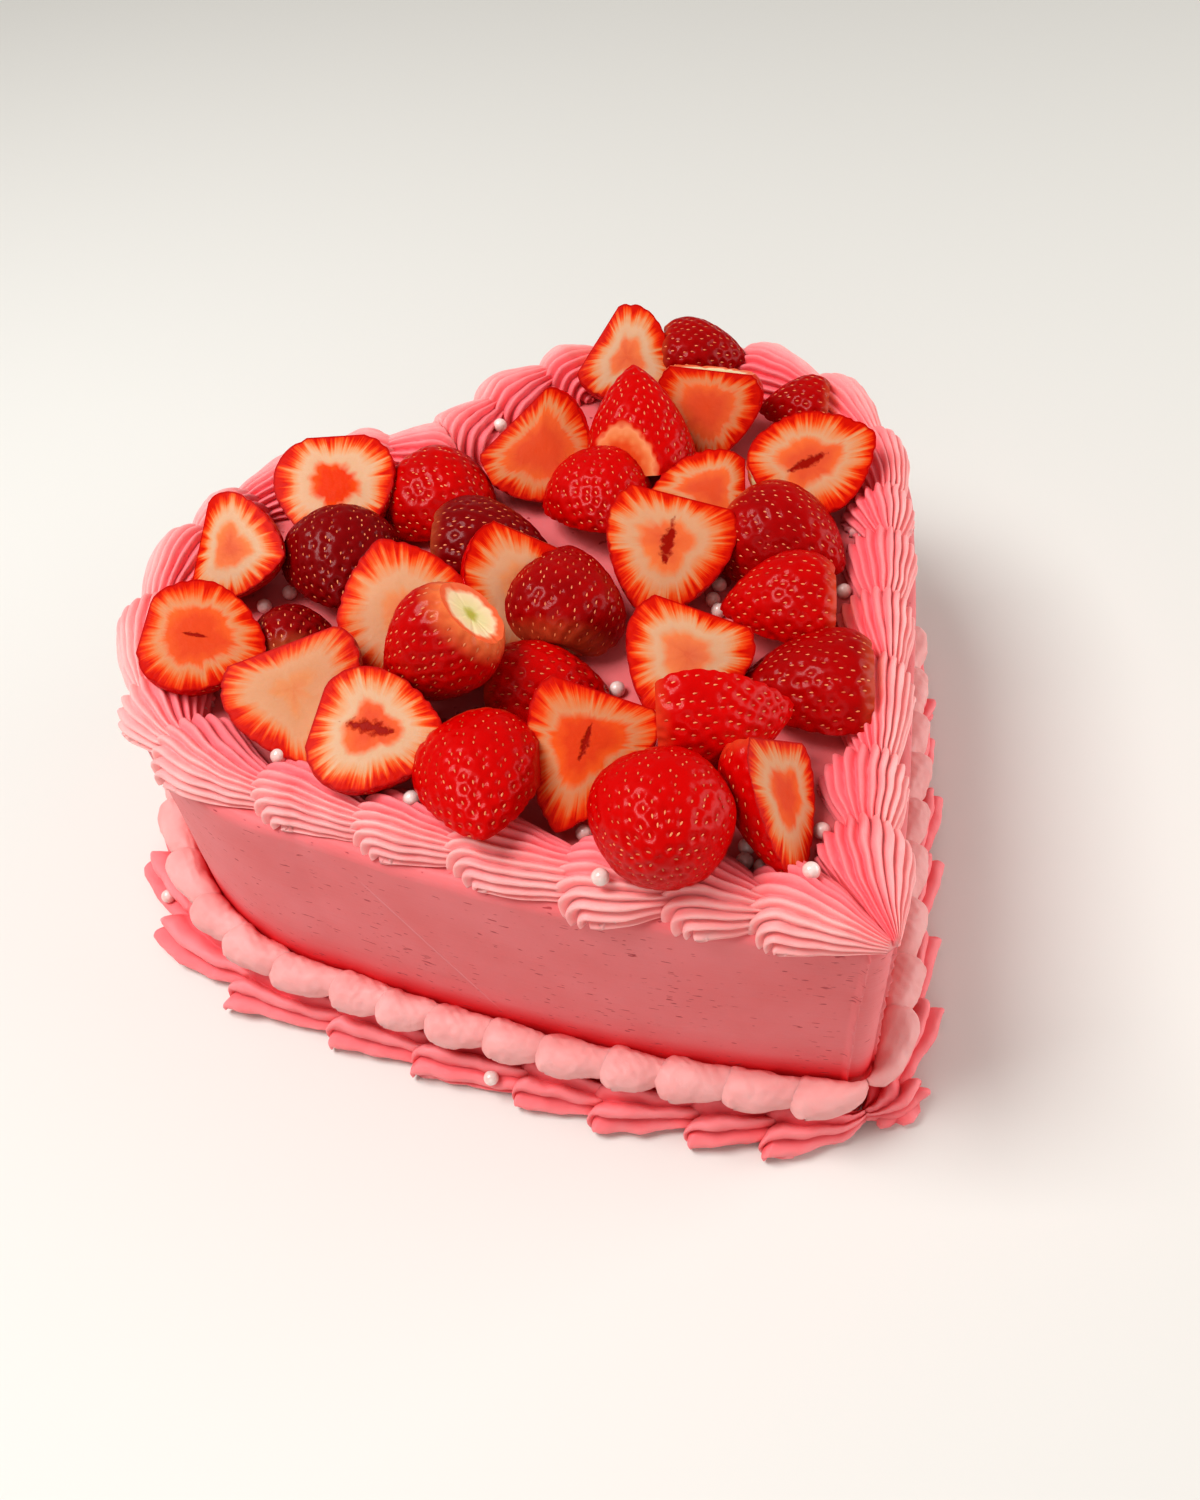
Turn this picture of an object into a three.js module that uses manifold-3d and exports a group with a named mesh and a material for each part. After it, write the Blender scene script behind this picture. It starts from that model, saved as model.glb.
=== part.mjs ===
// A heart-shaped layer cake, frosted pink, with three piped borders, cut strawberries and sugar pearls.
// Millimetres, Z up. While it is modelled, the heart's mirror line is the Y axis, the tip points to -Y
// and the centres of both lobes lie on the X axis. Each half is drawn on the right, and the left one is
// turned over at the end. The finished group is moved to stand on its own middle.
import * as THREE from "three";
import { mergeVertices } from "three/addons/utils/BufferGeometryUtils.js";
import Module from "manifold-3d";

const wasm = await Module();
wasm.setup();

// The frosted body
const BODY_HEIGHT = 82;
// lobeOffset: from the mirror line to the lobe's centre. tipReach: from the lobe centres' line to the
// sharp tip. bulge: how far the side swells out of its straight line. The right half is slimmer.
const HALF = {
  left: { lobeOffset: 41.4, lobeRadius: 72.5, tipReach: 149, bulge: 5.3 },
  right: { lobeOffset: 38, lobeRadius: 70.6, tipReach: 149.95, bulge: 2 },
};
const TIP_ROUNDING = 6;
const TOP_EDGE_ROUNDING = 2.5;
const GAP = 0.3; // between pieces that touch
const TIP_STEPS = 3; // of the outline, round half the tip
const BODY_STEPS = 13; // along a side, and round a lobe
const BORDER_STEPS = 40; // the same, of the line that a border follows

// The border of star-tip shells round the top. reach: how much further than usual a border comes out
// over a stretch of each side, which begins and ends gently.
const TOP_SHELL = {
  inset: 8.5, // centreline in from the wall
  halfWidth: 11.6,
  height: 11,
  steps: 14, // round the arch: grooves and ridges take turns
  depth: 0.13, // a groove's share of the radius
  widest: 0.32, // the share of a shell's length from its head
  notch: 0.5, // how full it is between two shells
  lowest: 0.4, // how high the thinnest tail would be
  stations: [0.7, 0.32, 0.08, 0],
  tip: -147.5, // where on the mirror line both sides run out together
  tipNotch: 0.2, // how full it is there
  reach: {
    left: { by: -3.8, from: [68, 92], until: [150, 178] },
    right: { by: -3, from: [16, 40], until: [160, 190] },
  },
};
const TIP_BEND = 22; // the length over which the top border leaves its inset and runs to the tip
const TIP_BEND_STEPS = 8;
const TIP_RUNOUT = 2; // how far it runs on past the tip, before it is cut at the mirror line
// The border of round-tip beads, which sits on the base shells against the wall
const BEAD = {
  inset: -5.6,
  halfWidth: 5.3,
  height: 11.4,
  steps: 6,
  depth: 0,
  widest: 0.36,
  notch: 0.55,
  lowest: 0.3,
  stations: [0.74, 0.36, 0.1, 0],
};
// The ruffled shells round the foot
const BASE_SHELL = {
  inset: -7.3,
  halfWidth: 7,
  height: 14,
  steps: 8,
  depth: 0.17,
  widest: 0.35,
  notch: 0.55,
  lowest: 0.4,
  stations: [0.7, 0.35, 0.1, 0],
  reach: {
    left: { by: 6, from: [166, 184], until: [226, 256] },
    right: { by: 2.5, from: [6, 24], until: [90, 130] },
  },
};
const BEAD_FOOT = BASE_SHELL.height + GAP;

// Lengths along the borders from the tip to the cleft, shell by shell, as the hand left them.
// The back of the cake goes on with the mean length, a little uneven.
const TOP_PITCH = { mean: 24, left: [28, 18, 22, 26, 23, 26, 29, 19, 28, 26, 17, 25, 17, 19],
  right: [29, 21, 29, 24, 24, 17, 25, 29, 26, 24, 22, 17, 23, 21] };
const BEAD_PITCH = { mean: 16.5, left: [19, 17, 16, 14, 17, 14, 16, 14, 14, 18, 17, 15, 19, 19],
  right: [24, 15, 18, 18, 15, 17] };
const BASE_PITCH = { mean: 24.5, left: [25, 19, 25, 21, 29, 26, 30, 30, 22, 20],
  right: [12, 23, 22, 25, 24, 23, 16] };
const PITCH_SPREAD = 0.16;
const PITCH_SEED = { left: 3, right: 7 };
const TAIL_POWER = 1.4; // how a shell thins out to its tail

// A strawberry lies along its own X axis, tip first, and a halved one has its cut face up, towards
// its own Z. at: middle on the cake's top. lift: middle above the top. turn: heading of the tip.
// dip: how far the tip points up. roll: about its length. size: length and width.
// wide: where along its length it is widest, from the stem. cut: the share cut off with the leaves.
// slice: a slice came off this way, and this far from the middle. They are listed from the front of
// the cake to the back.
const STRAWBERRIES = [
  { at: [-29, -107], lift: 20, turn: -125, dip: 30, roll: -175, size: [32, 32], wide: 0.44, whole: true },
  { at: [-46, -36], lift: 21, turn: 158, dip: -45, roll: -50, size: [34, 27], wide: 0.38, whole: true,
    cut: 0.07 },
  { at: [-31, -77], lift: 14, turn: -145, dip: -30, roll: -15, size: [37, 29], wide: 0.28 },
  { at: [-54, -71], lift: 12, turn: -115, dip: 15, roll: 180, size: [38, 30], wide: 0.36 },
  { at: [-67, -48], lift: 18, turn: -45, dip: -5, roll: 20, size: [33, 31], wide: 0.38, cut: 0.03 },
  { at: [-25, -47], lift: 2, turn: -35, dip: 0, roll: 175, size: [33, 28], wide: 0.4 },
  { at: [-78.5, -26], lift: 16, turn: -100, dip: -25, roll: 10, size: [34, 35], wide: 0.34 },
  { at: [-70, 6], lift: 2, turn: 70, dip: -5, roll: 180, size: [26, 24], wide: 0.4, cut: 0.02 },
  { at: [-8, -28], lift: 9, turn: 50, dip: 22, roll: -175, size: [31, 32], wide: 0.4, cut: 0.02 },
  { at: [-18, -26], lift: 15.5, turn: -140, dip: -20, roll: -30, size: [40, 34], wide: 0.36 },
  { at: [-45, -15], lift: 19, turn: 80, dip: 25, roll: -5, size: [36, 35], wide: 0.42, cut: 0.03 },
  { at: [-14, 1], lift: 8, turn: -35, dip: 0, roll: 175, size: [33, 30], wide: 0.38 },
  { at: [-13, 28], lift: 4, turn: -70, dip: 5, roll: -175, size: [34, 32], wide: 0.38 },
  { at: [-90, 6], lift: 16, turn: -35, dip: -15, roll: 20, size: [31, 31], wide: 0.44, cut: 0.03 },
  { at: [-49, 19], lift: 6, turn: -115, dip: 5, roll: 180, size: [32, 33], wide: 0.4 },
  { at: [-71, 33], lift: 15, turn: -50, dip: 5, roll: 35, size: [29, 31], wide: 0.34 },
  { at: [-40, 39], lift: 15, turn: -120, dip: -25, roll: 0, size: [35, 34], wide: 0.4, cut: 0.03 },
  { at: [-2, -114], lift: 14, turn: -115, dip: -30, roll: -50, size: [36, 27], wide: 0.3 },
  { at: [-1, -86], lift: 16, turn: -25, dip: 0, roll: -90, size: [36, 32], wide: 0.34 },
  { at: [27, -84], lift: 4, turn: 145, dip: 0, roll: -170, size: [36, 32], wide: 0.34 },
  { at: [3, -67], lift: 14, turn: -145, dip: -25, roll: -15, size: [34, 30], wide: 0.34 },
  { at: [36, -61], lift: 8, turn: 145, dip: 0, roll: -170, size: [31, 30], wide: 0.4 },
  { at: [20, -33], lift: 15, turn: -140, dip: -30, roll: -15, size: [37, 33], wide: 0.34 },
  { at: [52, -41], lift: 5, turn: -70, dip: 5, roll: -175, size: [35, 35], wide: 0.4 },
  { at: [43, -16], lift: 12, turn: 150, dip: 5, roll: -30, size: [28, 23], wide: 0.4 },
  { at: [20, -1], lift: 8, turn: -105, dip: 10, roll: 180, size: [31, 30], wide: 0.4 },
  { at: [15, 20], lift: 14, turn: -70, dip: -30, roll: 30, size: [32, 33], wide: 0.34 },
  { at: [71, -27], lift: 16, turn: -10, dip: 10, roll: 30, size: [36, 30], wide: 0.5, cut: 0.03 },
  { at: [39.5, 10.5], lift: 15, turn: 63, dip: 50, roll: 0, size: [38, 32], wide: 0.32, whole: true, cut: 0.2,
    slice: { way: [-0.72, -0.47, 0.515], far: 11.8 } },
  { at: [61, 9], lift: 14, turn: -135, dip: -60, roll: 10, size: [29, 31], wide: 0.34 },
  { at: [79, 39], lift: 8, turn: -40, dip: 0, roll: 175, size: [28, 25], wide: 0.4 },
  { at: [58, 44], lift: 13, turn: -60, dip: -20, roll: 35, size: [30, 30], wide: 0.34 },
  { at: [88, 3], lift: 6, turn: 140, dip: 0, roll: -175, size: [22, 22], wide: 0.34 },
];
const BERRY_THICKNESS = 0.95; // against its width
const LEAF_CUT = 0.1; // the share of its length that is cut off with the leaves, if none is given
const BERRY_STATIONS = [0.22, 0.42, 0.67, 0.89];
const BERRY_HALF_STEPS = 6; // sides of half a strawberry's round
const BERRY_WHOLE_STEPS = 10;
const BERRY_TIP_DROP = 0.1; // of its radius, so that a half's tip lies under its cut face
const SHOULDER_POWER = 2.4; // of the round near the stem
const CONE_POWER = 1.6; // of the taper past the widest place
const TIP_POWER = 0.74; // of the tip's rounding
const PRESS_DIRECTIONS = 300; // tried when two strawberries press together

// Sugar pearls, each on whatever frosting lies under its place
const PEARL_RADIUS = 2;
const PEARL_SINK = 0.5;
const PEARLS = [
  [-63, 25], [-70.7, 23.9], [-88.2, -33.5], [-67.6, -62], [-37.8, -87.4], [-44, -106],
  [-9.8, -111], [-12.5, -114], [-10.2, -117.4], [6.4, -116.8], [-5.5, -128], [27.9, -42.3],
  [26.9, -46.4], [43.5, -25.5], [39.5, -29], [32.3, -38.8], [-9, -55], [-30, -29],
  [15, 48.5], [57, -59.3], [-75.1, -91.6], [-127.6, 11.6], [-55.6, 81.6], [113.4, 27.2],
];

const COLOURS = {
  frosting: 0xe98089,
  shells: 0xfb9da3,
  beads: 0xee9a98,
  base: 0xf77d86,
  strawberry: 0xc8120e,
};
const FROSTING_ROUGHNESS = 0.5;
const SKIN_ROUGHNESS = 0.25;

// A repeatable stream of numbers from 0 to 1
function stream(seed) {
  let state = seed;
  return () => {
    state = (state * 1664525 + 1013904223) % 4294967296;
    return state / 4294967296;
  };
}

// One half of the heart at a distance outside the wall (negative inside), from the tip's end of the
// mirror line to the cleft's: the tip's rounding, the swelling side and the lobe's arc
function halfOutline(side, offset, steps) {
  const { lobeOffset, lobeRadius, tipReach, bulge } = HALF[side];
  const tip = new THREE.Vector2(0, -tipReach);
  const lobe = new THREE.Vector2(lobeOffset, 0);
  const reach = lobe.distanceTo(tip);
  const heading = lobe.clone().sub(tip).angle() - Math.asin(lobeRadius / reach);
  const length = Math.sqrt(reach * reach - lobeRadius * lobeRadius);
  const along = new THREE.Vector2(Math.cos(heading), Math.sin(heading));
  const out = new THREE.Vector2(Math.sin(heading), -Math.cos(heading));
  const points = [];
  const tipHeading = heading - Math.atan((4 * bulge) / length);
  const tipCentre = -tipReach + TIP_ROUNDING / Math.cos(tipHeading);
  const tipRadius = TIP_ROUNDING + offset;
  if (tipRadius > 0) {
    for (let i = 0; i < TIP_STEPS; i++) {
      const angle = (i / TIP_STEPS) * tipHeading;
      points.push(new THREE.Vector2(tipRadius * Math.sin(angle), tipCentre - tipRadius * Math.cos(angle)));
    }
  }
  const tangent = (TIP_ROUNDING * Math.tan(tipHeading)) / length;
  for (let i = 0; i <= steps; i++) {
    const s = tangent + (1 - tangent) * (i / steps);
    const swell = bulge * 4 * s * (1 - s);
    points.push(
      tip.clone().addScaledVector(along, s * length).addScaledVector(out, swell + offset),
    );
  }
  const radius = lobeRadius + offset;
  const first = out.angle() - 2 * Math.PI;
  const last = Math.acos(-lobeOffset / radius);
  for (let i = 1; i <= steps; i++) {
    const angle = first + (i / steps) * (last - first);
    points.push(new THREE.Vector2(lobeOffset + radius * Math.cos(angle), radius * Math.sin(angle)));
  }
  return onRightOfMirror(points);
}

// The part of a line that lies right of the mirror line, with its first point on it
function onRightOfMirror(points) {
  const start = points.findIndex((p) => p.x > 1e-6);
  if (start === 0) return points;
  const before = points[start - 1];
  const after = points[start];
  const share = -before.x / (after.x - before.x);
  return [before.clone().lerp(after, share), ...points.slice(start)];
}

// A line measured along its length: at(distance) gives the place and the way out
function measured(points) {
  const marks = [0];
  for (let i = 1; i < points.length; i++) marks.push(marks[i - 1] + points[i].distanceTo(points[i - 1]));
  const length = marks[marks.length - 1];
  const at = (distance) => {
    let i = marks.findIndex((m) => m > distance);
    if (i < 1) i = distance <= 0 ? 1 : points.length - 1;
    const on = points[i].clone().sub(points[i - 1]).normalize();
    const place = points[i - 1].clone().addScaledVector(on, distance - marks[i - 1]);
    return { place, out: new THREE.Vector2(on.y, -on.x) };
  };
  return { length, at };
}

// The line with its first stretch led out to a tip on the mirror line, along a curve
function pointed(points, tip) {
  const line = measured(points);
  const { place, out } = line.at(TIP_BEND);
  const bend = place.clone().addScaledVector(new THREE.Vector2(-out.y, out.x), -TIP_BEND / 2);
  const curve = new THREE.QuadraticBezierCurve(new THREE.Vector2(0, tip), bend, place);
  let travelled = 0;
  const rest = points.filter((point, i) => {
    if (i > 0) travelled += point.distanceTo(points[i - 1]);
    return travelled > TIP_BEND + 1;
  });
  return [...curve.getPoints(TIP_BEND_STEPS), ...rest];
}

// Joins rings of points with the same count into a closed skin. An end is a point or the ring's middle.
function skin(rings, start, end) {
  const count = rings[0].length;
  const middle = (ring) => ring.reduce((sum, p) => sum.add(p), new THREE.Vector3()).divideScalar(count);
  const points = rings.flat();
  points.push(start ?? middle(rings[0]), end ?? middle(rings[rings.length - 1]));
  const index = [];
  const last = (rings.length - 1) * count;
  for (let j = 0; j < count; j++) {
    const k = (j + 1) % count;
    index.push(points.length - 2, k, j);
    index.push(points.length - 1, last + j, last + k);
    for (let i = 0; i < last; i += count) {
      index.push(i + j, i + k, i + count + k);
      index.push(i + j, i + count + k, i + count + j);
    }
  }
  const geometry = new THREE.BufferGeometry().setFromPoints(points);
  geometry.setIndex(index);
  return geometry;
}

function solid(geometry) {
  const bare = geometry.clone();
  bare.deleteAttribute("normal");
  bare.deleteAttribute("uv");
  const merged = mergeVertices(bare, 1e-4);
  const mesh = new wasm.Mesh({
    numProp: 3,
    vertProperties: new Float32Array(merged.attributes.position.array),
    triVerts: new Uint32Array(merged.index.array),
  });
  return new wasm.Manifold(mesh);
}

function joined(solids) {
  return solids.reduce((sum, next) => sum.add(next));
}

function meshOf(name, body, colour, roughness) {
  const { vertProperties, triVerts } = body.getMesh();
  const geometry = new THREE.BufferGeometry();
  geometry.setAttribute("position", new THREE.BufferAttribute(new Float32Array(vertProperties), 3));
  geometry.setIndex(new THREE.BufferAttribute(new Uint32Array(triVerts), 1));
  const mesh = new THREE.Mesh(
    geometry,
    new THREE.MeshStandardMaterial({ color: colour, roughness, metalness: 0, flatShading: true }),
  );
  mesh.name = name;
  return mesh;
}

// The heart-shaped body, its wall straight and its edges slightly rounded
function bodySolid() {
  const right = halfOutline("right", 0, BODY_STEPS);
  const other = halfOutline("left", 0, BODY_STEPS).slice(1, -1).reverse();
  const left = other.map((p) => new THREE.Vector2(-p.x, p.y));
  const geometry = new THREE.ExtrudeGeometry(new THREE.Shape([...right, ...left]), {
    depth: BODY_HEIGHT - 2 * TOP_EDGE_ROUNDING,
    bevelThickness: TOP_EDGE_ROUNDING,
    bevelSize: TOP_EDGE_ROUNDING,
    bevelOffset: -TOP_EDGE_ROUNDING,
    bevelSegments: 1,
  });
  geometry.translate(0, 0, TOP_EDGE_ROUNDING);
  return solid(geometry);
}

// How full a piped border is at a share of one shell's length from its head: it swells out of the
// notch where it laps over the shell behind, is widest near the head and thins out to its tail
function fullness(share, form, tailNotch) {
  if (share < form.widest) {
    return form.notch + (1 - form.notch) * Math.sqrt(1 - (1 - share / form.widest) ** 2);
  }
  const rest = (share - form.widest) / (1 - form.widest);
  return 1 - (1 - tailNotch) * rest ** TAIL_POWER;
}

// The scale of a border's outer half, where its reach changes
function outerScale(distance, side, form) {
  if (!form.reach) return 1;
  const { by, from, until } = form.reach[side];
  const share = THREE.MathUtils.smoothstep(distance, ...from) - THREE.MathUtils.smoothstep(distance, ...until);
  return 1 + (by * share) / form.halfWidth;
}

// A section across a border: an arch with a flat foot, whose grooves and ridges take turns
function archAt(line, distance, full, form, foot, side) {
  const { place, out } = line.at(distance);
  const ring = [];
  for (let j = 0; j <= form.steps; j++) {
    const angle = (Math.PI * j) / form.steps;
    const groove = j % 2 === 0 ? 1 - form.depth : 1;
    const outer = 2 * j > form.steps ? outerScale(distance, side, form) : 1;
    const across = -form.halfWidth * full * Math.cos(angle) * groove * outer;
    const up = form.height * (form.lowest + (1 - form.lowest) * full) * Math.sin(angle) * groove;
    ring.push(new THREE.Vector3(place.x + out.x * across, place.y + out.y * across, foot + up));
  }
  return ring;
}

// The lengths of a border's shells: the ones given, then the mean with a seeded unevenness
function pitches(given, mean, total, seed) {
  const random = stream(seed);
  const list = [...given];
  let used = list.reduce((sum, pitch) => sum + pitch, 0);
  while (used + mean / 2 < total) {
    list.push(mean * (1 + PITCH_SPREAD * (2 * random() - 1)));
    used += list[list.length - 1];
  }
  return list.map((pitch) => (pitch * total) / used);
}

// A border along one side, piped with every head away from the tip. Both ends run past the mirror
// line and are cut there.
function border(form, pitch, side, foot, seed) {
  const outline = halfOutline(side, -form.inset, BORDER_STEPS);
  const line = measured(form.tip ? pointed(outline, form.tip) : outline);
  const tipNotch = form.tipNotch ?? form.notch;
  const rings = [archAt(line, form.tip ? -TIP_RUNOUT : -form.halfWidth, tipNotch, form, foot, side)];
  let tail = 0;
  for (const length of pitches(pitch[side], pitch.mean, line.length, seed)) {
    const tailNotch = tail === 0 ? tipNotch : form.notch;
    for (const share of form.stations) {
      const distance = tail + (1 - share) * length;
      rings.push(archAt(line, distance, fullness(share, form, tailNotch), form, foot, side));
    }
    tail += length;
  }
  rings.push(archAt(line, line.length + form.halfWidth, 1, form, foot, side));
  const run = solid(skin(rings)).intersect(rightHalf());
  return side === "right" ? run : run.mirror([1, 0, 0]);
}

// All the room right of the mirror line, up to the gap
function rightHalf() {
  const size = 2 * HALF.right.tipReach;
  const box = new THREE.BoxGeometry(size, 2 * size, size);
  box.translate(size / 2 + GAP / 2, 0, size / 2 - 1);
  return solid(box);
}

// How wide a strawberry is at a share of its length from the stem: round shoulders, then a cone
// that rounds off at the tip
function berryWidth(share, wide) {
  if (share < wide) {
    return (1 - (1 - share / wide) ** SHOULDER_POWER) ** (1 / SHOULDER_POWER);
  }
  const rest = (share - wide) / (1 - wide);
  return Math.max(0, 1 - rest ** CONE_POWER) ** TIP_POWER;
}

// A whole or halved strawberry in its place, grown by an allowance on every side
function strawberry(berry, allowance) {
  const length = berry.size[0] + 2 * allowance;
  const radius = berry.size[1] / 2 + allowance;
  const count = berry.whole ? BERRY_WHOLE_STEPS : BERRY_HALF_STEPS + 1;
  const first = berry.cut ?? LEAF_CUT;
  const rings = [first, ...BERRY_STATIONS.filter((share) => share > first)].map((share) => {
    const width = radius * berryWidth(share, berry.wide);
    const ring = [];
    for (let j = 0; j < count; j++) {
      const angle = berry.whole ? (2 * Math.PI * j) / count : Math.PI + (Math.PI * j) / BERRY_HALF_STEPS;
      const onFace = !berry.whole && j % BERRY_HALF_STEPS === 0;
      const up = onFace ? allowance : BERRY_THICKNESS * width * Math.sin(angle);
      ring.push(new THREE.Vector3((share - 0.5) * length, width * Math.cos(angle), up));
    }
    return ring;
  });
  const tipHeight = berry.whole ? 0 : -BERRY_TIP_DROP * radius;
  const geometry = skin(rings, undefined, new THREE.Vector3(length / 2, 0, tipHeight));
  const radians = THREE.MathUtils.degToRad;
  geometry.rotateX(radians(berry.roll));
  geometry.rotateY(-radians(berry.dip));
  geometry.rotateZ(radians(berry.turn));
  geometry.translate(berry.at[0], berry.at[1], BODY_HEIGHT + berry.lift);
  return geometry;
}

// Directions spread evenly over a ball
function directions(count) {
  const golden = Math.PI * (3 - Math.sqrt(5));
  return Array.from({ length: count }, (unused, i) => {
    const up = 1 - (2 * i + 1) / count;
    const flat = Math.sqrt(1 - up * up);
    return new THREE.Vector3(flat * Math.cos(i * golden), flat * Math.sin(i * golden), up);
  });
}

function reachOf(points, way) {
  return points.reduce((most, p) => Math.max(most, p.dot(way)), -Infinity);
}

// Where two strawberries press together, the one behind is flattened: a plane that just touches the
// front one, square to the direction in which they overlap least, cuts it
function pressed(body, points, front, ways) {
  let least = Infinity;
  let plane = null;
  for (const way of ways) {
    const frontReach = reachOf(front, way);
    const overlap = frontReach + reachOf(points, way.clone().negate());
    if (overlap < least) {
      least = overlap;
      plane = { way, frontReach };
    }
  }
  if (least < -GAP) return body;
  const { way, frontReach } = plane;
  return body.trimByPlane([way.x, way.y, way.z], frontReach + GAP);
}

function pointsOf(geometry) {
  const position = geometry.attributes.position;
  return Array.from({ length: position.count }, (unused, i) =>
    new THREE.Vector3().fromBufferAttribute(position, i));
}

// A strawberry without the slice that came off its round
function sliced(body, berry) {
  if (!berry.slice) return body;
  const way = new THREE.Vector3(...berry.slice.way).normalize().negate();
  const middle = new THREE.Vector3(berry.at[0], berry.at[1], BODY_HEIGHT + berry.lift);
  return body.trimByPlane([way.x, way.y, way.z], middle.dot(way) - berry.slice.far);
}

// All strawberries, flat where they rest on the cake and where they press together
function allStrawberries() {
  const ways = directions(PRESS_DIRECTIONS);
  const shapes = STRAWBERRIES.map((berry) => strawberry(berry, 0));
  const points = shapes.map(pointsOf);
  return shapes.map((shape, i) => {
    let body = sliced(solid(shape), STRAWBERRIES[i]).trimByPlane([0, 0, 1], BODY_HEIGHT + GAP);
    for (let j = 0; j < i; j++) body = pressed(body, points[i], points[j], ways);
    return body;
  });
}

// A pearl on the highest of the frosted meshes at its place, a little sunk into the cream
function pearlOn([x, y], meshes) {
  const down = new THREE.Raycaster(new THREE.Vector3(x, y, 2 * BODY_HEIGHT), new THREE.Vector3(0, 0, -1));
  const [hit] = down.intersectObjects(meshes);
  const ball = new THREE.OctahedronGeometry(PEARL_RADIUS, 1);
  ball.translate(x, y, hit.point.z + PEARL_RADIUS - PEARL_SINK);
  return { name: hit.object.name, pearl: solid(ball) };
}

// The body and the borders, by name
function frostedPieces(clearOf) {
  const pieces = { cake_body: [bodySolid(), COLOURS.frosting] };
  for (const side of ["left", "right"]) {
    const seed = PITCH_SEED[side];
    const top = border(TOP_SHELL, TOP_PITCH, side, BODY_HEIGHT + GAP, seed).subtract(clearOf);
    pieces[`top_shells_${side}`] = [top, COLOURS.shells];
    pieces[`bead_border_${side}`] = [border(BEAD, BEAD_PITCH, side, BEAD_FOOT, seed), COLOURS.beads];
    pieces[`base_shells_${side}`] = [border(BASE_SHELL, BASE_PITCH, side, 0, seed), COLOURS.base];
  }
  return pieces;
}

// The frosted pieces as meshes, with the pearls that lie on them
function frostedMeshes(clearOf) {
  const pieces = frostedPieces(clearOf);
  const meshes = () =>
    Object.entries(pieces).map(([name, [body, colour]]) => meshOf(name, body, colour, FROSTING_ROUGHNESS));
  const bare = meshes();
  for (const place of PEARLS) {
    const { name, pearl } = pearlOn(place, bare);
    pieces[name][0] = pieces[name][0].add(pearl);
  }
  return meshes();
}

const root = new THREE.Group();
const grown = joined(STRAWBERRIES.map((berry) => solid(strawberry(berry, GAP))));
root.add(...frostedMeshes(grown));
allStrawberries().forEach((body, i) => {
  const name = `strawberry_${String(i + 1).padStart(2, "0")}`;
  root.add(meshOf(name, body, COLOURS.strawberry, SKIN_ROUGHNESS));
});

// The group's origin: on the surface that the cake stands on, in the middle of its outline
const middle = new THREE.Box3().setFromObject(root).getCenter(new THREE.Vector3());
root.position.set(-middle.x, -middle.y, 0);

export default root;
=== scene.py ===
# %% [markdown]
# An anniversary cake: a heart-shaped layer cake under pink buttercream, with three piped borders,
# cut strawberries and sugar pearls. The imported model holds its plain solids. Each step below makes
# the fine surface that stands for some of them, always from the sizes that the solids were made from.

import math

import bpy
import numpy as np
from mathutils import Matrix, Vector
from mathutils.bvhtree import BVHTree


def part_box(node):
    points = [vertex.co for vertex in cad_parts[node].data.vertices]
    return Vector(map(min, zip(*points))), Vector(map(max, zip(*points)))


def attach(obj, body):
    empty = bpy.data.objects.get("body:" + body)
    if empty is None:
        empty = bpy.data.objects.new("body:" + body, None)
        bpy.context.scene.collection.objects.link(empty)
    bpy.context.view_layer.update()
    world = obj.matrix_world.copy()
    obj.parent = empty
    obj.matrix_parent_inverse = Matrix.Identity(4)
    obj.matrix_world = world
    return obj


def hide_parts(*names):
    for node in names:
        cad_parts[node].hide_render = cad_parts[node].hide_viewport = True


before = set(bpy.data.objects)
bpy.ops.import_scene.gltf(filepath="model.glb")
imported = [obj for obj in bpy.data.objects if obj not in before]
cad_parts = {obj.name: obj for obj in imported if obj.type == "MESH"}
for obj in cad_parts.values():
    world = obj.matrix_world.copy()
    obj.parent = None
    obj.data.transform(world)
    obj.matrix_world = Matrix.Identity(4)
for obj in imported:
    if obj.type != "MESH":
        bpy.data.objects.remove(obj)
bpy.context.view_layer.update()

# %% [markdown]
# The sizes below are in millimetres, on the heart's own axes: its mirror line is the Y axis, the tip
# points to -Y and the middles of both lobes lie on the X axis. The right half was frosted a little
# slimmer than the left one, with a straighter side.

# %% Sizes of the heart
MM = 0.001
BODY_HEIGHT = 82
HALF = {
    "left": {"lobe_offset": 41.4, "lobe_radius": 72.5, "tip_reach": 149.0, "bulge": 5.3},
    "right": {"lobe_offset": 38.0, "lobe_radius": 70.6, "tip_reach": 149.95, "bulge": 2.0},
}
TIP_ROUNDING = 6
GAP = 0.3
print("the heart is", sum(h["lobe_offset"] + h["lobe_radius"] for h in HALF.values()), "mm wide")

# %% [markdown]
# A heart tin is two round lobes and two nearly straight sides that meet in a rounded tip. Each half
# is drawn as if it were the right one, and the left one is turned over at the end. A curve object
# could draw it, but a line of points that knows its own length also lets every border be piped along
# it, shell by shell.
#
# The model stands on its own middle, so everything is shifted to it at the end. The shift is read
# from the solids: both halves of the foot end just beside the mirror line, and the body at its tip.

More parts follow.
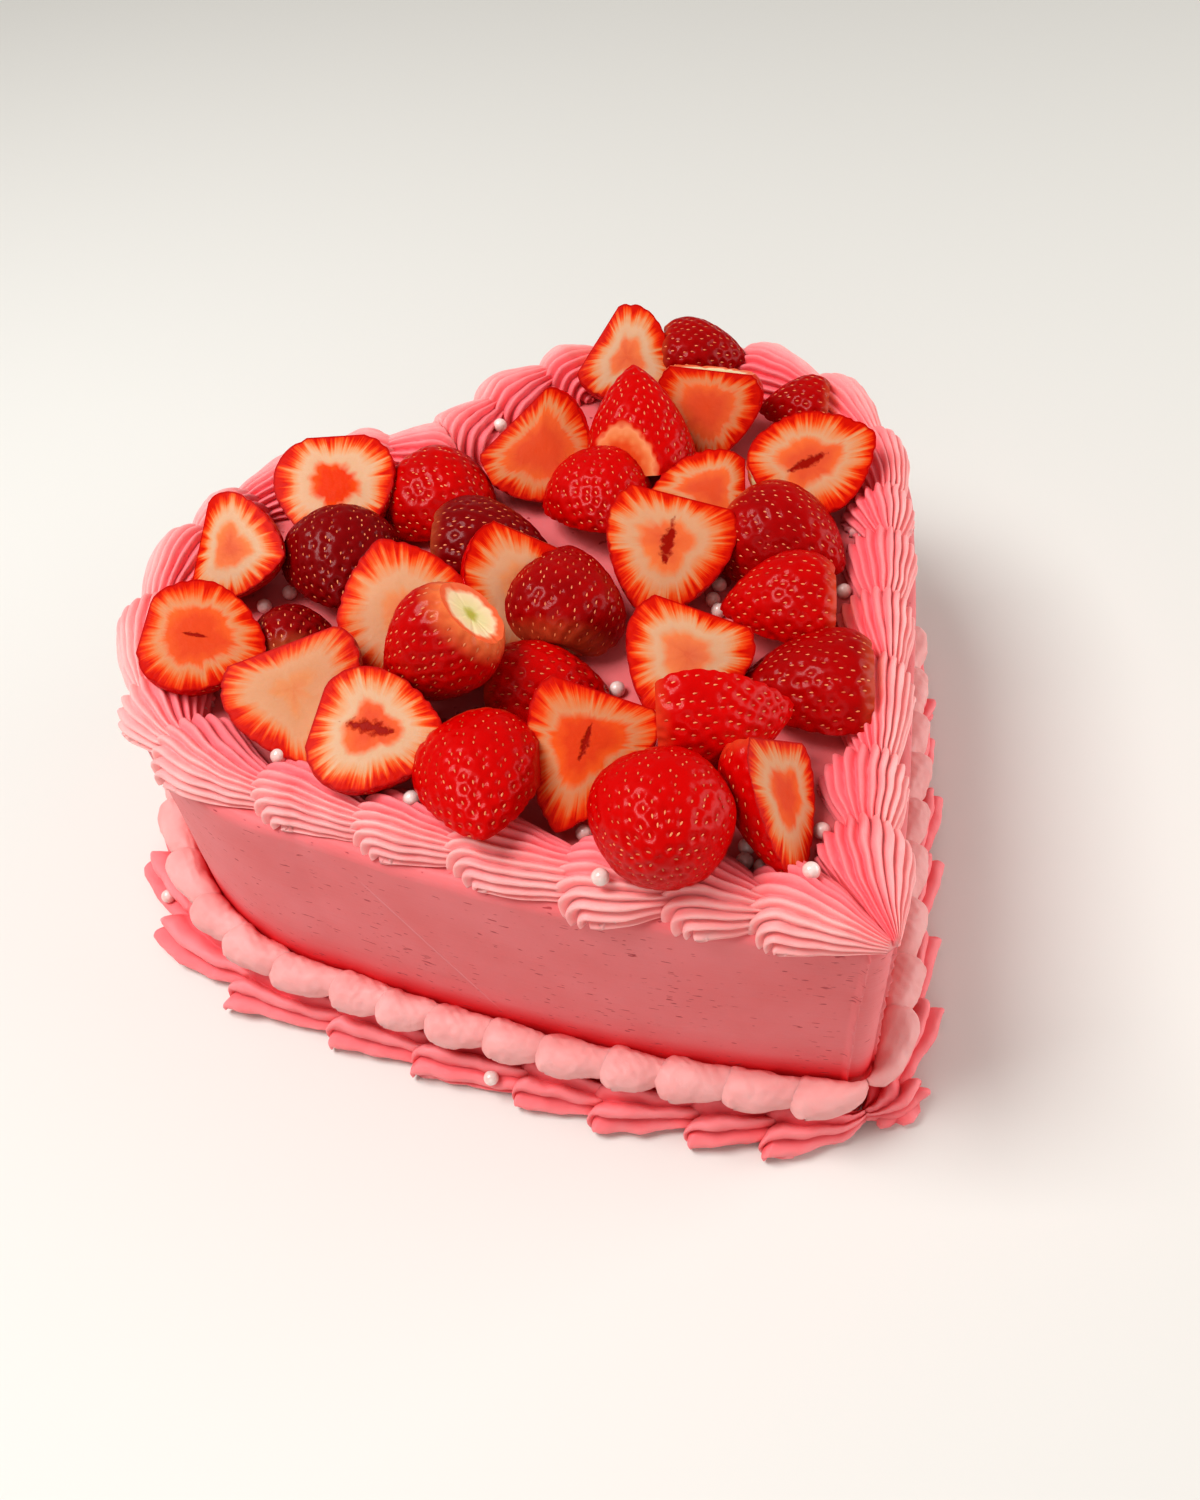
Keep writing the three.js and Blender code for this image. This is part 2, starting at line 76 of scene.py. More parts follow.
# %% The heart's outline
def half_outline(side, offset):
    """Half of the outline at a distance outside the wall, from the tip to the cleft. The tip is an
    arc, the side a straight line plus 4 s (1 - s) times its bulge, the lobe an arc."""
    lobe_offset, lobe_radius, tip_reach, bulge = HALF[side].values()
    reach = math.hypot(lobe_offset, tip_reach)
    heading = math.atan2(tip_reach, lobe_offset) - math.asin(lobe_radius / reach)
    length = math.sqrt(reach**2 - lobe_radius**2)
    on = np.array([math.cos(heading), math.sin(heading)])
    out = np.array([math.sin(heading), -math.cos(heading)])
    tip_heading = heading - math.atan(4 * bulge / length)
    tip_middle = TIP_ROUNDING / math.cos(tip_heading) - tip_reach
    radius = max(TIP_ROUNDING + offset, 0)
    turn = np.linspace(0, tip_heading, 40, endpoint=False)
    tip = np.stack([radius * np.sin(turn), tip_middle - radius * np.cos(turn)], 1)
    share = np.linspace(TIP_ROUNDING * math.tan(tip_heading) / length, 1, 400)[:, None]
    run = np.array([0, -tip_reach]) + on * share * length
    run = run + out * (4 * bulge * share * (1 - share) + offset)
    radius = lobe_radius + offset
    turn = np.linspace(math.atan2(out[1], out[0]), math.acos(-lobe_offset / radius), 400)[1:]
    lobe = np.stack([lobe_offset + radius * np.cos(turn), radius * np.sin(turn)], 1)
    points = np.concatenate([tip, run, lobe] if TIP_ROUNDING + offset > 0 else [run, lobe])
    start = np.argmax(points[:, 0] > 1e-6)
    if start > 0:
        before, after = points[start - 1], points[start]
        points = points[start - 1 :]
        points[0] = before - (after - before) * before[0] / (after[0] - before[0])
    return points


def measured(points, spare=40):
    """The line with its length at every point, run on straight past both ends by a spare length."""
    first = points[0] - points[1]
    last = points[-1] - points[-2]
    line = np.concatenate([
        [points[0] + first * spare / np.hypot(*first)],
        points,
        [points[-1] + last * spare / np.hypot(*last)],
    ])
    marks = np.concatenate([[0], np.cumsum(np.hypot(*np.diff(line, axis=0).T))]) - spare
    return {"points": line, "marks": marks, "length": marks[-2]}


def along(line, distance):
    """Places at distances along a line and the ways out there, square to the line's own heading."""
    def at(d):
        return np.stack([np.interp(d, line["marks"], line["points"][:, i]) for i in (0, 1)], -1)

    on = at(distance + 0.4) - at(distance - 0.4)
    on = on / np.linalg.norm(on, axis=-1, keepdims=True)
    return at(distance), np.stack([on[..., 1], -on[..., 0]], -1)


def pointed(points, tip, bend=22):
    """The line with its first stretch led out to a tip on the mirror line. The curve that does it is
    (1 - t)^2 tip + 2 t (1 - t) middle + t^2 join, and it joins the line along its own heading."""
    line = measured(points)
    join, out = along(line, np.array([float(bend)]))
    middle = join - bend / 2 * np.stack([-out[:, 1], out[:, 0]], -1)
    t = np.linspace(0, 1, 30, endpoint=False)[:, None]
    curve = (1 - t) ** 2 * np.array([0, tip]) + 2 * t * (1 - t) * middle + t**2 * join
    return np.concatenate([curve, points[line["marks"][1:-1] > bend]])


WALL_LENGTH = {side: measured(half_outline(side, 0))["length"] for side in ("left", "right")}
foot_middle = (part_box("base_shells_left")[1].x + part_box("base_shells_right")[0].x) / 2
MIDDLE = np.array([foot_middle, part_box("cake_body")[0].y - half_outline("right", 0)[0, 1] * MM, 0])
print("the wall is", round(sum(WALL_LENGTH.values())), "mm round")
print("the heart's axes meet at", np.round(MIDDLE / MM, 2))

# %% [markdown]
# Cream is never quite even. Twelve sine waves in seeded directions, added up, give swells of about
# one size with no repeat that the eye finds, and the same ones each time.
#
# Every surface below is rings of points round something. A ring is joined to the next by four-sided
# faces and each end closes on a single point, so there is no hole and no seam. The volume's sign says
# whether the faces point outwards, and if it is negative they are all turned round.

# %% Uneven cream and closed skins
def swells(points, size, seed):
    """A smooth unevenness from about -1 to 1: the mean of twelve sine waves of about one length."""
    draw = np.random.default_rng(seed)
    ways = draw.normal(size=(12, 3))
    ways = ways / np.linalg.norm(ways, axis=1, keepdims=True)
    pace = 2 * np.pi / size * draw.uniform(0.7, 1.4, 12)
    return np.sin(points @ ways.T * pace + draw.uniform(0, 2 * np.pi, 12)).mean(-1) * 2


def grid_faces(rows, columns, start=0, closed=True):
    """Four-sided faces of a grid of points that begins at a number."""
    last = columns if closed else columns - 1
    row, column = np.meshgrid(np.arange(rows - 1) * columns, np.arange(last), indexing="ij")
    beside = (column + 1) % columns
    corners = [row + column, row + beside, row + columns + beside, row + columns + column]
    return np.stack(corners, -1).reshape(-1, 4) + start


def fan_faces(ring, pole, closed=True):
    """Three-sided faces from a ring of point numbers to a pole."""
    fan = np.stack([ring, np.roll(ring, -1), np.full(len(ring), pole)], -1)
    return fan if closed else fan[:-1]


def repeated(faces, points, count):
    """The faces of one skin, repeated for a number of skins with as many points each."""
    shift = np.arange(count)[:, None, None] * points
    return [(part[None] + shift).reshape(-1, part.shape[1]) for part in faces]


def closed_skins(rings, first, last):
    """Points and faces of closed skins from rings (skin, row, column, 3) and a pole at each end."""
    count, rows, columns, _ = rings.shape
    points = np.concatenate([rings.reshape(count, -1, 3), first[:, None], last[:, None]], 1)
    pole = rows * columns
    fans = [fan_faces(np.arange(columns), pole)[:, ::-1],
            fan_faces(pole - columns + np.arange(columns), pole + 1)]
    faces = [grid_faces(rows, columns), np.concatenate(fans)]
    return points.reshape(-1, 3), repeated(faces, points.shape[1], count)


# %% Finished pieces
def volume_of(points, faces):
    """A sixth of the sum of a . (b x c) over the triangles, in cubic millimetres."""
    total = 0
    for part in faces:
        for k in range(1, part.shape[1] - 1):
            a, b, c = (points[part[:, i]] for i in (0, k, k + 1))
            total = total + np.einsum("ij,ij->", a, np.cross(b, c)) / 6
    return total


def new_object(name, data):
    """An object in the scene for a mesh, a lamp or a camera."""
    made = bpy.data.objects.new(name, data)
    bpy.context.scene.collection.objects.link(made)
    return made


def make_piece(name, points, faces, materials, kinds=None, replaces=(), slot=None, fields=None):
    """A finished piece of the cake from points in millimetres on the heart's axes. Its fields are
    numbers or vectors at its points, which its material reads by name."""
    volume = volume_of(points, faces)
    if volume < 0:
        faces = [part[:, ::-1] for part in faces]
    mesh = bpy.data.meshes.new(name)
    mesh.from_pydata((points * MM + MIDDLE).tolist(), [], [f for part in faces for f in part.tolist()])
    for material in materials:
        mesh.materials.append(material)
    if kinds is not None:
        mesh.polygons.foreach_set("material_index", np.concatenate(kinds).astype(np.int32))
    for field, values in (fields or {}).items():
        kind, entry = ("FLOAT", "value") if values.ndim == 1 else ("FLOAT_VECTOR", "vector")
        data = mesh.attributes.new(field, kind, "POINT").data
        data.foreach_set(entry, values.astype(np.float32).ravel())
    mesh.shade_smooth()
    obj = new_object(name, mesh)
    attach(obj, "root")
    if replaces:
        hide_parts(*replaces)
    triangles = sum(len(part) * (part.shape[1] - 2) for part in faces)
    print(name, triangles, "triangles,", round(abs(volume) / 1000, 1), "cc")


# %% [markdown]
# Colours are written as they look on a screen, in hex, and one function turns them into the linear
# values that light adds up in. One helper adds a node with its settings and links. Another ends a
# material: it joins the colour, the bump and the numbers to the surface shader, and that to the output.

# %% Colours and nodes
def linear(colour):
    """A screen colour as linear red, green, blue and a full alpha."""
    levels = np.array([int(colour[i : i + 2], 16) / 255 for i in (1, 3, 5)])
    levels = np.where(levels <= 0.04045, levels / 12.92, ((levels + 0.055) / 1.055) ** 2.4)
    return (*levels, 1.0)


def add(tree, kind, inputs=None, stops=None, **settings):
    """Adds a node. An input is a value, another node's output, or a node, which stands for the first
    output that it has in use. Stops fill a colour ramp."""
    made = tree.nodes.new("ShaderNode" + kind)
    for name, value in settings.items():
        setattr(made, name, value)
    for key, value in (inputs or {}).items():
        if isinstance(value, bpy.types.Node):
            value = next(output for output in value.outputs if output.enabled)
        if isinstance(value, bpy.types.NodeSocket):
            tree.links.new(value, made.inputs[key])
        else:
            made.inputs[key].default_value = value
    if stops:
        ramp = made.color_ramp
        while len(ramp.elements) < len(stops):
            ramp.elements.new(1)
        for element, (place, colour) in zip(ramp.elements, stops):
            element.position = place
            element.color = linear(colour)
    return made


def new_material(name):
    """An empty node material and its node tree."""
    material = bpy.data.materials.new(name)
    material.use_nodes = True
    material.node_tree.nodes.clear()
    return material, material.node_tree


def finish(material, colour, settings, glow=(), bump=()):
    """Adds the surface shader. glow is how much light goes in, how far for red, green and blue, and
    the scale of that in metres. bump is a height, how strong it is and its depth in metres."""
    tree = material.node_tree
    inputs = {"Base Color": colour, **settings}
    inputs.update(zip(("Subsurface Weight", "Subsurface Radius", "Subsurface Scale"), glow))
    if bump:
        inputs["Normal"] = add(tree, "Bump", dict(zip(("Height", "Strength", "Distance"), bump)))
    add(tree, "OutputMaterial", {"Surface": add(tree, "BsdfPrincipled", inputs)})
    print(material.name, "has", len(tree.nodes), "nodes")
    return material


# %% [markdown]
# Buttercream is butter and sugar whipped with air and colour. Fat makes it satin, never glossy, and
# light goes a few millimetres into it, which softens every edge and makes the grooves glow. Piped
# cream keeps a skin of tiny air bubbles, drawn here as a fine bump of about half a millimetre. A
# patchy mix of two near tones stands for colour that was not stirred in quite evenly. Light that is
# caught in a groove, or thrown back by the strawberries, passes through cream again and again and
# comes out redder. That redder tone is painted bounce light and painted shade in the colour: the
# field called deep says how much, from 0 to 1.

# %% Piped buttercream
CREAM_SURFACE = {"Roughness": 0.5, "IOR": 1.45, "Specular IOR Level": 0.25}
CREAM_REACH = (1.0, 0.35, 0.3)


def piped_buttercream(name, light, dull, deep):
    """Satin cream with tiny bubbles: two near tones in patches, and a deep one of painted bounce light and
    shade.
    """
    material, tree = new_material(name)
    place = add(tree, "TexCoord").outputs["Object"]
    patches = add(tree, "TexNoise", {"Vector": place, "Scale": 90.0, "Detail": 2.0})
    tone = add(tree, "ValToRGB", {"Fac": patches}, stops=[(0.35, dull), (0.62, light)])
    # Painted bounce light and shade: the deep field mixes the deep tone into the colour
    caught = add(tree, "Attribute", attribute_name="deep").outputs["Fac"]
    tone = add(tree, "Mix", {0: caught, 6: tone, 7: linear(deep)}, data_type="RGBA")
    bubbles = add(tree, "TexNoise", {"Vector": place, "Scale": 1500.0, "Detail": 3.0})
    smears = add(tree, "TexNoise", {"Vector": place, "Scale": 260.0, "Detail": 2.0})
    rough = add(tree, "Math", {0: bubbles, 1: 0.35, 2: smears}, operation="MULTIPLY_ADD")
    return finish(material, tone, CREAM_SURFACE, glow=(0.25, CREAM_REACH, 0.0014), bump=(rough, 0.6, 0.0003))


# The third tone of each is the deep one, the colour of painted bounce light and groove shade
shell_cream = piped_buttercream("piped pink buttercream", "#FFB8B5", "#FCA8A7", "#F8707A")
bead_cream = piped_buttercream("piped pale buttercream", "#EFAFAC", "#E8A29F", "#E2464E")
base_cream = piped_buttercream("piped coral buttercream", "#FF9296", "#FC868A", "#E23C48")

# %% [markdown]
# The three borders are piped: the bag is squeezed until the cream swells forward and up, then drawn
# back and let go, so a shell has a round head and a thin tail, and the next head laps over that tail.
# The swept path below does the same. A ring of cream first turns about the head's middle, from facing
# forward to facing up, and then moves back while it shrinks. The teeth of the tip leave grooves in
# the ring: 1 - depth (1 - |sin|), which has broad round crests and narrow hollows. slant leans the
# flanks of a shell back, or forward below zero, which draws its ribs out into a slanting fan. reach
# is how much further than usual a border comes out over a stretch of each side, which begins and
# ends gently: the top border stays inside the wall's edge for a while, so the edge shows, and the
# foot spreads.

# %% Sizes of the three borders
# red: from which angle, how much on the flank that faces the cake and how much in the grooves the cream is
# painted redder, as painted bounce light and shade
TOP_SHELL = {
    "inset": 8.5, "half_width": 11.9, "height": 10.6, "under": 4.2, "middle": 0.8, "foot": 82.0,
    "teeth": 22, "depth": 0.24, "phase": 0, "notch": 0.5, "taper": 1.3, "hug": 0, "lap": 2.0,
    "slant": 0.1, "long": 0.85, "wander": 0.9, "swell": 0.25, "wrinkle": 0, "red": (0.5, 0.75, 0.45),
    "head_rows": 16, "body_rows": 22, "columns": 110, "tip": -147.5,
    "reach": {"left": (-3.8, (68, 92, 150, 178)), "right": (-3.0, (16, 40, 160, 190))},
}
BEAD = {
    "inset": -5.3, "half_width": 5.5, "height": 5.2, "under": 5.8, "middle": 6.2, "foot": 14.3,
    "teeth": 0, "depth": 0, "phase": 0, "notch": 0.6, "taper": 1.8, "hug": 0.8, "lap": 1.2, "slant": 0,
    "long": 0.75, "wander": 0.3, "swell": 0.35, "wrinkle": 0.2, "red": (-0.5, 1.0, 0),
    "head_rows": 14, "body_rows": 22, "columns": 40,
}
BASE_SHELL = {
    "inset": -6.2, "half_width": 8.6, "height": 11.2, "under": 2.8, "middle": 2.8, "foot": 0,
    "teeth": 8, "depth": 0.36, "phase": 0.26, "notch": 0.6, "taper": 1.2, "hug": 0.5, "lap": 2.0,
    "slant": -0.5, "long": 0.8, "wander": 0.8, "swell": 0.4, "wrinkle": 0.15, "red": (0.4, 0.6, 0.7),
    "head_rows": 16, "body_rows": 20, "columns": 84,
    "reach": {"left": (6.5, (166, 184, 226, 256)), "right": (2.5, (6, 24, 90, 130))},
}
TOP_PITCH = {"mean": 24, "left": [28, 18, 22, 26, 23, 26, 29, 19, 28, 26, 17, 25, 17, 19],
             "right": [29, 21, 29, 24, 24, 17, 25, 29, 26, 24, 22, 17, 23, 21]}
BEAD_PITCH = {"mean": 16.5, "left": [19, 17, 16, 14, 17, 14, 16, 14, 14, 18, 17, 15, 19, 19],
              "right": [24, 15, 18, 18, 15, 17]}
BASE_PITCH = {"mean": 24.5, "left": [25, 19, 25, 21, 29, 26, 30, 30, 22, 20],
              "right": [12, 23, 22, 25, 24, 23, 16]}
PITCH_SPREAD = 0.16
PITCH_SEED = {"left": 3, "right": 7}
# The part of a ring that shows: how far from its top it goes, and its share of the columns
CROWN_ANGLE = 1.9
CROWN_COLUMNS = 0.85
# The first shell's tail is drawn out: where it ends, and what is left of its width there
FIRST_END = -1.5
FIRST_NOTCH = 0.12
SWELL_SIZE = 9
WRINKLE_SIZE = 2.6
BORDERS = [
    ("top_shell_border", "top_shells", "top_shell_frosting", TOP_SHELL, TOP_PITCH, shell_cream),
    ("bead_row", "bead_border", "bead_frosting", BEAD, BEAD_PITCH, bead_cream),
    ("base_shell_border", "base_shells", "base_shell_frosting", BASE_SHELL, BASE_PITCH, base_cream),
]


# %% How long each shell is
def pitches(pitch, side, total):
    """The lengths of one side's shells: the ones given, then the mean with a seeded unevenness."""
    state = PITCH_SEED[side]
    lengths = list(pitch[side])
    while sum(lengths) + pitch["mean"] / 2 < total:
        state = (state * 1664525 + 1013904223) % 4294967296
        lengths.append(pitch["mean"] * (1 + PITCH_SPREAD * (2 * state / 4294967296 - 1)))
    return np.array(lengths) * total / sum(lengths)


# %% One side of a border
def piped_border(form, pitch, side):
    """All the shells of one side at once, as arrays of shell, row and column. The head's rows turn
    from forward to up, the body's rows move back from head to end and shrink by back to a power
    down to the notch, and from where the next shell begins each closes as a quarter circle."""
    points = half_outline(side, -form["inset"])
    line = measured(pointed(points, form["tip"]) if "tip" in form else points)
    lengths = pitches(pitch, side, line["length"])
    draw = np.random.default_rng(PITCH_SEED[side] + form["teeth"])
    count = len(lengths)
    uneven = draw.uniform(-1, 1, size=(6, count, 1, 1))
    at_start = (np.arange(count) == 0)[:, None, None]
    tails = (np.cumsum(lengths) - lengths)[:, None, None]
    lengths = lengths[:, None, None]
    wide = form["half_width"] * (1 + 0.05 * uneven[0])
    tall = form["height"] * (1 + 0.06 * uneven[1])

    rows = form["head_rows"] + form["body_rows"]
    facing = np.full(rows, np.pi / 2)
    facing[: form["head_rows"]] = np.linspace(-0.35, 1, form["head_rows"]) * np.pi / 2
    back = np.zeros(rows)
    back[form["head_rows"] :] = np.linspace(0, 1, form["body_rows"] + 2)[1:-1]
    facing, back = facing[None, :, None], back[None, :, None]

    # The ring's angle from its top, finer over the crown, which shows
    over = round(form["columns"] * CROWN_COLUMNS)
    under = np.linspace(CROWN_ANGLE, 2 * np.pi - CROWN_ANGLE, form["columns"] - over + 2)[1:-1]
    angle = np.concatenate([np.linspace(-CROWN_ANGLE, CROWN_ANGLE, over), under])[None, None, :]

    head = lengths - form["long"] * wide + form["lap"] + 0.15 * wide
    end = np.where(at_start, FIRST_END, -0.35 * wide)
    join = head / (head - end)
    notch = np.where(at_start, FIRST_NOTCH, form["notch"] + 0.05 * uneven[2])
    thin = 1 - (1 - notch) * np.clip(back / join, 0, 1) ** form["taper"]
    close = np.sqrt(np.clip(1 - (np.clip(back - join, 0, 1) / (1 - join)) ** 2, 0, 1))
    full = np.where(back < join, thin, notch * close)
    twisted = angle - form["phase"] + 0.12 * uneven[3] + 0.25 * uneven[4] * back
    ridge = np.abs(np.sin(form["teeth"] / 2 * twisted)) if form["teeth"] else 1 + 0 * twisted
    groove = 1 - form["depth"] * (1 - ridge)
    across = wide * full * groove * np.sin(angle)
    across = across + form["wander"] * (uneven[5] * np.cos(3 * back) + back)
    across = across - form["hug"] * wide * (1 - full)
    up = np.where(np.cos(angle) > 0, tall * (0.35 + 0.65 * full), form["under"] * full)
    up = up * groove * np.cos(angle) * np.sin(facing) + form["middle"]
    ahead = form["long"] * wide * full * groove * np.cos(angle) * np.cos(facing)
    ahead = ahead - form["slant"] * wide * full * np.sin(angle) ** 2
    distance = tails + head + (end - head) * back + ahead

    if "reach" in form:
        more, between = form["reach"][side]
        stretched = np.interp(distance, between, (0, 1, 1, 0)) * more / wide
        across = across * np.where(across > 0, 1 + stretched, 1)

    place, out = along(line, distance)
    flat = place + out * across[..., None]
    rings = np.concatenate([flat, (form["foot"] + up)[..., None] + 0 * flat[..., :1]], -1)
    uneven_by = [swells(rings + 50 * k, SWELL_SIZE, k) for k in range(3)]
    wrinkles = [swells(rings + 50 * k, WRINKLE_SIZE, k + 3) for k in range(3)]
    rings = rings + form["swell"] * np.stack(uneven_by, -1) + form["wrinkle"] * np.stack(wrinkles, -1)
    rings[..., 0] = np.maximum(rings[..., 0], GAP / 2)
    rings[..., 2] = np.maximum(rings[..., 2], 0)
    if side == "left":
        rings[..., 0] *= -1
    first = rings[:, 0].mean(1)
    last = 2 * rings[:, -1].mean(1) - rings[:, -2].mean(1)
    last[:, 2] = rings[:, -1, :, 2].mean(1)

    # Painted bounce light and shade: redder on the flank that faces the cake, from an angle on, and in the
    # grooves
    from_angle, painted_flank_bounce, painted_groove_shade = form["red"]
    deep = painted_flank_bounce * np.clip((from_angle - angle) / 0.9, 0, 1) + painted_groove_shade * (1 - ridge)
    deep = np.clip(deep + 0 * distance, 0, 1).reshape(count, -1)
    deep = np.pad(deep, ((0, 0), (0, 2)), mode="edge").ravel()
    return (*closed_skins(rings, first, last), deep)


# %% Pipe all six
for side in ("left", "right"):
    for name, node, slot, form, pitch, cream in BORDERS:
        points, faces, deep = piped_border(form, pitch, side)
        make_piece(f"{name}_{side}", points, faces, [cream],
                   replaces=[f"{node}_{side}"], slot=slot, fields={"deep": deep})

# %% [markdown]
# The cake itself is frosted smooth: a scraper runs round the wall and leaves faint level marks,
# burst bubbles that show as short dark dashes, and a thin ragged ridge where it was lifted off at
# the tip. The same rounded heart is drawn at every height, so the body is rings again, from the
# middle of its underside, up the wall, over the rounded edge and in to the middle of the top.

# %% The frosted body
EDGE_ROUNDING = 3.4
FOOT_BEVEL = 1.2
TIP_STRETCH = 14
TOP_CENTRE = np.array([0, -22])
# How far the ragged ridge is from the tip, how wide it is and how far it stands out
RIDGE_PLACE = {"left": 4.6, "right": 5.4}
RIDGE_WIDTH = 0.55
RIDGE_HEIGHT = 1.1


def ring_at(share, inset):
    """A full outline at a distance inside the wall, sampled at shares of both its halves' lengths."""
    lines = [measured(half_outline(side, -inset)) for side in ("right", "left")]
    right, left = (along(line, share * line["length"])[0] for line in lines)
    right[0, 0] = right[-1, 0] = 0
    return np.concatenate([right, left[1:-1][::-1] * [-1, 1]])


def frosted_body():
    """Rings of the body from the underside's middle to the top's middle."""
    near_tip = np.linspace(0, TIP_STRETCH, 40) / WALL_LENGTH["left"]
    share = np.concatenate([near_tip, np.linspace(near_tip[-1], 1, 230)[1:]])
    wall = ring_at(share, 0)
    turn = np.linspace(0, np.pi / 2, 8)
    insets = EDGE_ROUNDING * (1 - np.cos(turn))
    rises = BODY_HEIGHT - EDGE_ROUNDING * (1 - np.sin(turn))

    def raised(outline, height):
        return np.column_stack([outline, np.full(len(outline), float(height))])

    edge = [raised(ring_at(share, inset), z) for inset, z in zip(insets, rises)]
    foot = ring_at(share, FOOT_BEVEL)
    under = [raised(TOP_CENTRE + k * (foot - TOP_CENTRE), 0) for k in (0.1, 0.4, 0.7, 1)]
    sides = [raised(wall, z) for z in np.linspace(FOOT_BEVEL, rises[0], 54)[:-1]]
    rim = edge[-1][:, :2]
    top = [raised(TOP_CENTRE + k * (rim - TOP_CENTRE), BODY_HEIGHT) for k in np.linspace(1, 0.02, 60)[1:]]
    rings = np.array(under + sides + edge + top)

    # Scraper marks on the wall, a ridge beside the tip, and a spread top
    outward = rings[..., :2] - TOP_CENTRE
    outward = outward / np.linalg.norm(outward, axis=-1, keepdims=True)
    height = rings[..., 2]
    on_wall = np.clip(height / 6, 0, 1) * np.clip((BODY_HEIGHT - height) / 3, 0, 1)
    level = swells(rings * [0.06, 0.06, 1.0], 6, 1)
    broad = swells(rings * [1, 1, 0.5], 60, 2)
    from_tip = np.concatenate([share, share[1:-1][::-1]]) * WALL_LENGTH["left"]
    left = np.arange(len(from_tip)) >= len(share)
    ridge_at = np.where(left, *RIDGE_PLACE.values()) + 0.5 * swells(rings * [0, 0, 1], 50, 5)
    ridge = np.exp(-(((from_tip - ridge_at) / RIDGE_WIDTH) ** 2)) * (1 + 0.6 * swells(rings, 2.5, 6))
    push = on_wall * (0.07 * level + 0.35 * broad + RIDGE_HEIGHT * ridge)
    rings[..., :2] += outward * push[..., None]
    on_top = (height > BODY_HEIGHT - 0.01) * 1.0
    rings[..., 2] += on_top * (0.35 * swells(rings, 22, 3) + 0.12 * swells(rings, 5, 4) - 0.3)
    first = np.array([[*TOP_CENTRE, 0.0]])
    last = np.array([[*TOP_CENTRE, rings[-1, :, 2].mean()]])
    return closed_skins(rings[None], first, last)


# %% [markdown]
# The wall's cream is the same, drawn flat by a scraper, so it is satin too. Its marks could be cut
# into the mesh, but most are a tenth of a millimetre deep, which a bump shows as well. A noise that
# is drawn out along the wall gives the level marks, and the highest spots of another the bubbles.

# %% Smoothed buttercream
def smoothed_buttercream():
    """Smoothed buttercream: satin, with level scraper marks and burst bubbles on the wall, and painted
    bounce light near the foot, where light is caught between the wall and the borders."""
    material, tree = new_material("smoothed pink buttercream")
    place = add(tree, "TexCoord").outputs["Object"]
    own = add(tree, "SeparateXYZ", {"Vector": place})
    height = own.outputs["Z"]
    patches = add(tree, "TexNoise", {"Vector": place, "Scale": 45.0, "Detail": 3.0})
    tone = add(tree, "ValToRGB", {"Fac": patches}, stops=[(0.3, "#E17375"), (0.7, "#E77F82")])
    # Painted bounce light: redder towards the foot in two steps, where light is caught between the wall and
    # the borders
    for start, end, most, colour in ((0.038, 0.016, 0.7, "#F4525C"), (0.031, 0.023, 0.85, "#E81E28")):
        painted_foot_bounce = add(tree, "MapRange", {"Value": height, "From Min": start, "From Max": end, "To Max": most})
        tone = add(tree, "Mix", {0: painted_foot_bounce, 6: tone, 7: linear(colour)}, data_type="RGBA")
    # Level marks: noise that is drawn out twelve times along the wall
    drawn = add(tree, "Mapping", {"Vector": place, "Scale": (0.08, 0.08, 1.0)})
    marks = add(tree, "TexNoise", {"Vector": drawn, "Scale": 900.0, "Detail": 3.0})
    # Burst bubbles: the few highest spots of a noise drawn out to dashes of 1 or 2 mm, in clusters.
    # The bump below digs them in, and their darker colour is painted shade in the pits
    dashes = add(tree, "Mapping", {"Vector": place, "Scale": (0.2, 0.2, 1.0)})
    dash = add(tree, "TexNoise", {"Vector": dashes, "Scale": 1500.0, "Detail": 1.0})
    crowd = add(tree, "TexNoise", {"Vector": place, "Scale": 60.0, "Detail": 2.0})
    chance = add(tree, "Math", {0: crowd, 1: 0.22, 2: dash}, operation="MULTIPLY_ADD")
    pit = add(tree, "MapRange", {"Value": chance, "From Min": 0.82, "From Max": 0.86})
    # Painted shade: the pits are mixed towards a darker red
    tone = add(tree, "Mix", {0: pit, 6: tone, 7: linear("#BC4C52")}, data_type="RGBA")
    # A hair-thin slanting line on the left of the front, where the scraper was set down again: it is
    # where 2.43 x + z is -121 mm, between two heights. It stands up as a bump, and its lighter colour
    # is a painted highlight along it.
    slant = add(tree, "Math", {0: own.outputs["X"], 1: 2.43, 2: height}, operation="MULTIPLY_ADD")
    off = add(tree, "Math", {0: slant, 1: 0.1207}, operation="ADD")
    away = add(tree, "Math", {0: off}, operation="ABSOLUTE")
    front = add(tree, "Math", {0: own.outputs["Y"], 1: 0.0}, operation="LESS_THAN")
    seam, above, line = (
        add(tree, "MapRange", {"Value": value, "From Min": start, "From Max": end})
        for value, start, end in ((height, 0.072, 0.068), (height, 0.026, 0.034), (away, 0.0008, 0.0003)))
    for mask in (above, front, line):
        seam = add(tree, "Math", {0: seam, 1: mask}, operation="MULTIPLY")
    painted_seam_highlight = add(tree, "Math", {0: seam, 1: 0.4}, operation="MULTIPLY")
    tone = add(tree, "Mix", {0: painted_seam_highlight, 6: tone, 7: linear("#F8A8AA")}, data_type="RGBA")
    # All of it as height: marks and fine bubbles, the burst ones dug in and the line standing up
    fine = add(tree, "TexNoise", {"Vector": place, "Scale": 1300.0, "Detail": 2.0})
    relief = marks
    for part, much in ((fine, 0.25), (pit, -1.6), (seam, 1.2)):
        relief = add(tree, "Math", {0: part, 1: much, 2: relief}, operation="MULTIPLY_ADD")
    return finish(material, tone, CREAM_SURFACE, glow=(0.25, CREAM_REACH, 0.0015),
                  bump=(relief, 0.6, 0.0002))


make_piece("frosted_heart", *frosted_body(), [smoothed_buttercream()],
           replaces=["cake_body"], slot="body_frosting")

